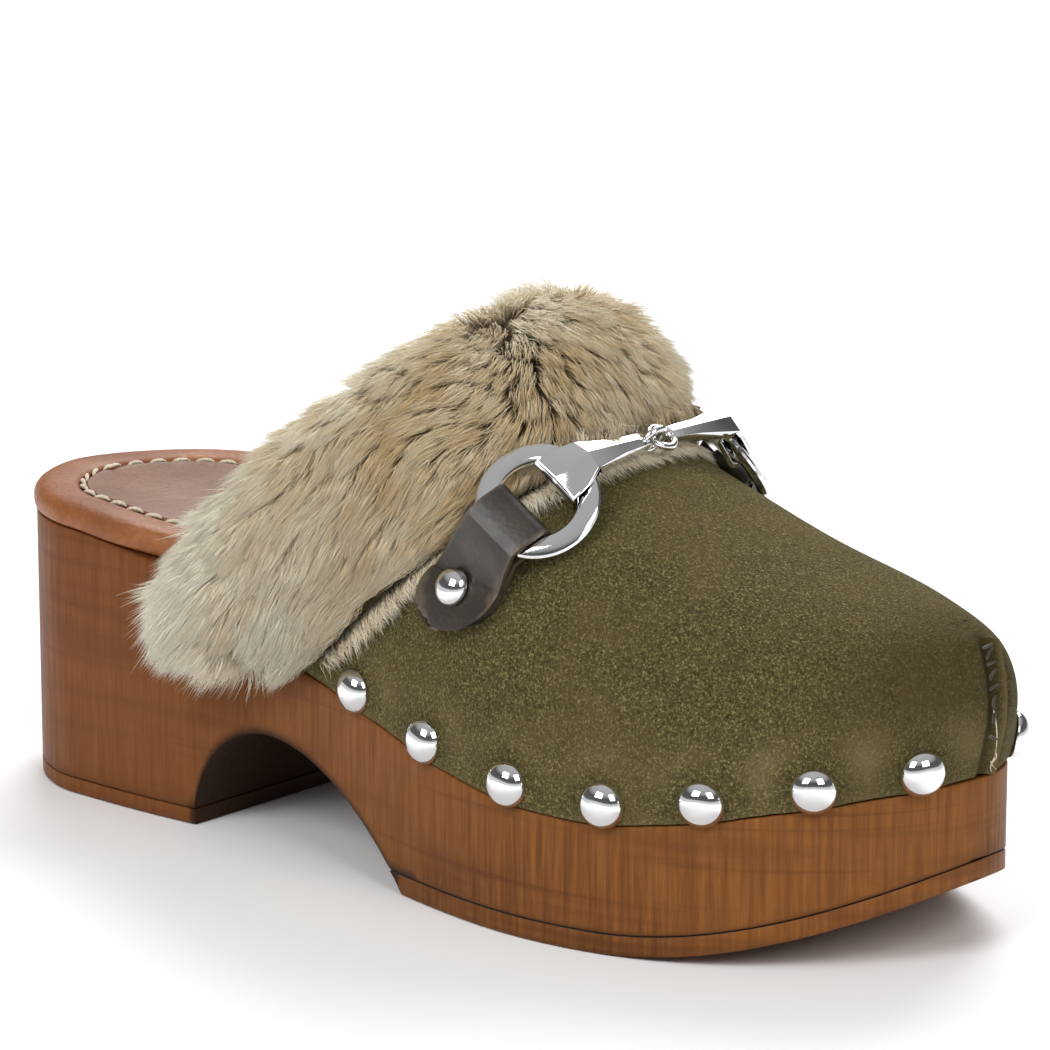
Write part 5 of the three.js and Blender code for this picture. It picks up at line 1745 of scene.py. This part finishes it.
def makePile(roll):
    at, normals = surfaceSamples(roll, int(pile["hairs"] * 1.35))
    keep = ~blocked(at, pile["keepClear"])
    at, normals = at[keep][: pile["hairs"]], normals[keep][: pile["hairs"]]
    count = len(at)
    way = hairDirections(at, normals)
    long = pile["length"] * (1 + pile["lengthSpread"] * np.clip(rng.normal(size=count), -2, 2))
    patches = waves(at, 11)[:, 0]
    long *= 1 + 0.16 * patches
    # the pile is shorter on the side towards the foot
    inward = np.array([1.0 if insideUpper(Vector(p)) else 0.0 for p in at])
    long *= 1 - 0.35 * inward
    roots = at - normals * pile["sink"]
    tips = at + way * long[:, None] + np.array([0, 0, -0.9])
    # every hair is drawn towards the tip of its nearest clump
    leaders = rng.choice(count, pile["clumps"], replace=False)
    finder = kdtree.KDTree(len(leaders))
    for i, leader in enumerate(leaders):
        finder.insert(at[leader], i)
    finder.balance()
    own = np.array([finder.find(p)[1] for p in at])
    clumpTips = tips[leaders][own] + rng.normal(size=(count, 3)) * 0.35
    draw = pile["draw"] * (0.6 + 0.4 * rng.random(count))[:, None]
    tips = tips * (1 - draw) + clumpTips * draw
    stray = rng.random(count) < 0.05
    tips[stray] += rng.normal(size=(stray.sum(), 3)) * 1.6
    stop = seamStitch["ahead"] - pile["seamClear"] + rng.normal(size=count) * 0.35
    past = np.maximum(0, aheadOfThroat(tips) - stop) * (aheadOfThroat(at) < seamStitch["ahead"])
    tips -= past[:, None] * throatNormal
    middles = (roots + tips) / 2 + normals * 1.5 + rng.normal(size=(count, 3)) * 0.3 * pile["curl"]
    clumpTone = rng.random(len(leaders))[own]
    cream = np.clip((pile["creamBehind"] - at[:, 0]) / 30, -0.5, 1)
    tone = 0.44 + 0.36 * cream + 0.3 * waves(at, 21)[:, 1] + 0.3 * (
        clumpTone - 0.5
    ) + 0.14 * rng.normal(size=count)
    tone = np.clip(tone, 0, 1)
    width = pile["root"] * (0.75 + 0.5 * rng.random(count))
    keep, middles, tips = clearOfBit(roots, middles, tips)
    roots, middles, tips, tone, width = (values[keep] for values in (roots, middles, tips, tone, width))
    tips, middles = liftOutOfSolids(tips, 0.5), liftOutOfSolids(middles, 0.5)
    count = len(roots)
    for k, start in enumerate(range(0, count, pile["perPiece"])):
        cut = slice(start, start + pile["perPiece"])
        buildHairs(f"furPile{k + 1}", roots[cut], middles[cut], tips[cut], width[cut], tone[cut])
    return count


def makeFringe():
    # short bristly hairs in front of the seam, which hang forwards over the suede
    seat = []
    turns = math.pi * (0.02 + 0.96 * rng.random(pile["fringe"]))
    table = [seamFrame(math.pi * i / 240, collar["seam"], 0.2) for i in range(241)]
    for turn in turns:
        seat.append(table[min(240, round(turn / math.pi * 240))])
    at = np.array([s[0][:] for s in seat])
    back, out, run = (np.array([s[k][:] for s in seat]) for k in (1, 2, 3))
    rise = rng.random((len(at), 1)) * 1.2
    roots = at + back * (rise - 2.3) + out * (0.1 + rise * 0.2) + run * rng.normal(
        size=(len(at), 1)
    ) * 0.4
    sweep = waves(at, 31)[:, :1] * 0.35
    long = pile["fringeLength"] * (0.5 + 0.75 * rng.random((len(at), 1)))
    way = unit(
        -back * 0.9 + out * (0.3 + 0.3 * rng.random((len(at), 1))) + run * (
            sweep + rng.normal(size=(len(at), 1)) * 0.32
        )
    )
    tips = roots + way * long + np.array([0, 0, -0.6])
    middles = (roots + tips) / 2 + out * 0.7
    tone = np.clip(0.62 + 0.2 * rng.normal(size=len(at)), 0, 1)
    width = pile["root"] * (0.8 + 0.5 * rng.random(len(at)))
    keep, middles, tips = clearOfBit(roots, middles, tips)
    roots, middles, tips, tone, width = (values[keep] for values in (roots, middles, tips, tone, width))
    tips, middles = liftOutOfSolids(tips, 0.35), liftOutOfSolids(middles, 0.6)
    buildHairs("furFringe", roots, middles, tips, width, tone)


def makeCollarStitching():
    spots = []
    for i in range(seamStitch["count"]):
        turn = mix(0.1, math.pi - 0.1, i / (seamStitch["count"] - 1))
        at, back, out, run = seamFrame(turn, seamStitch["ahead"], 0.42)
        spots.append(scaled(frameAt(at, run + back * 0.18, out)))
    pattern = stitchPattern(seamStitch["length"], seamStitch["radius"])
    piece = copiesOf("collarStitching", pattern, spots)
    removePiece(pattern)
    smooth(piece, 60)
    finishPiece(piece, darkThread, replaces=["collar_stitching"])


fur = plushFur()
furBack = furBacking()
collarRoll = makeCollarRoll()
print("collar roll is made, faces:", len(collarRoll.data.polygons))
hairCount = makePile(collarRoll)
makeFringe()
makeCollarStitching()
print("fur pile is made, hairs:", hairCount)

# hidden pieces that stay as they are take plain materials


def dressNode(node, material):
    piece = bpy.data.objects[node]
    piece.data.materials.clear()
    piece.data.materials.append(material)


dressNode("toe_puff", stiffBoard())
for burr in ("outer_rivet_burr", "inner_rivet_burr"):
    dressNode(burr, chrome)
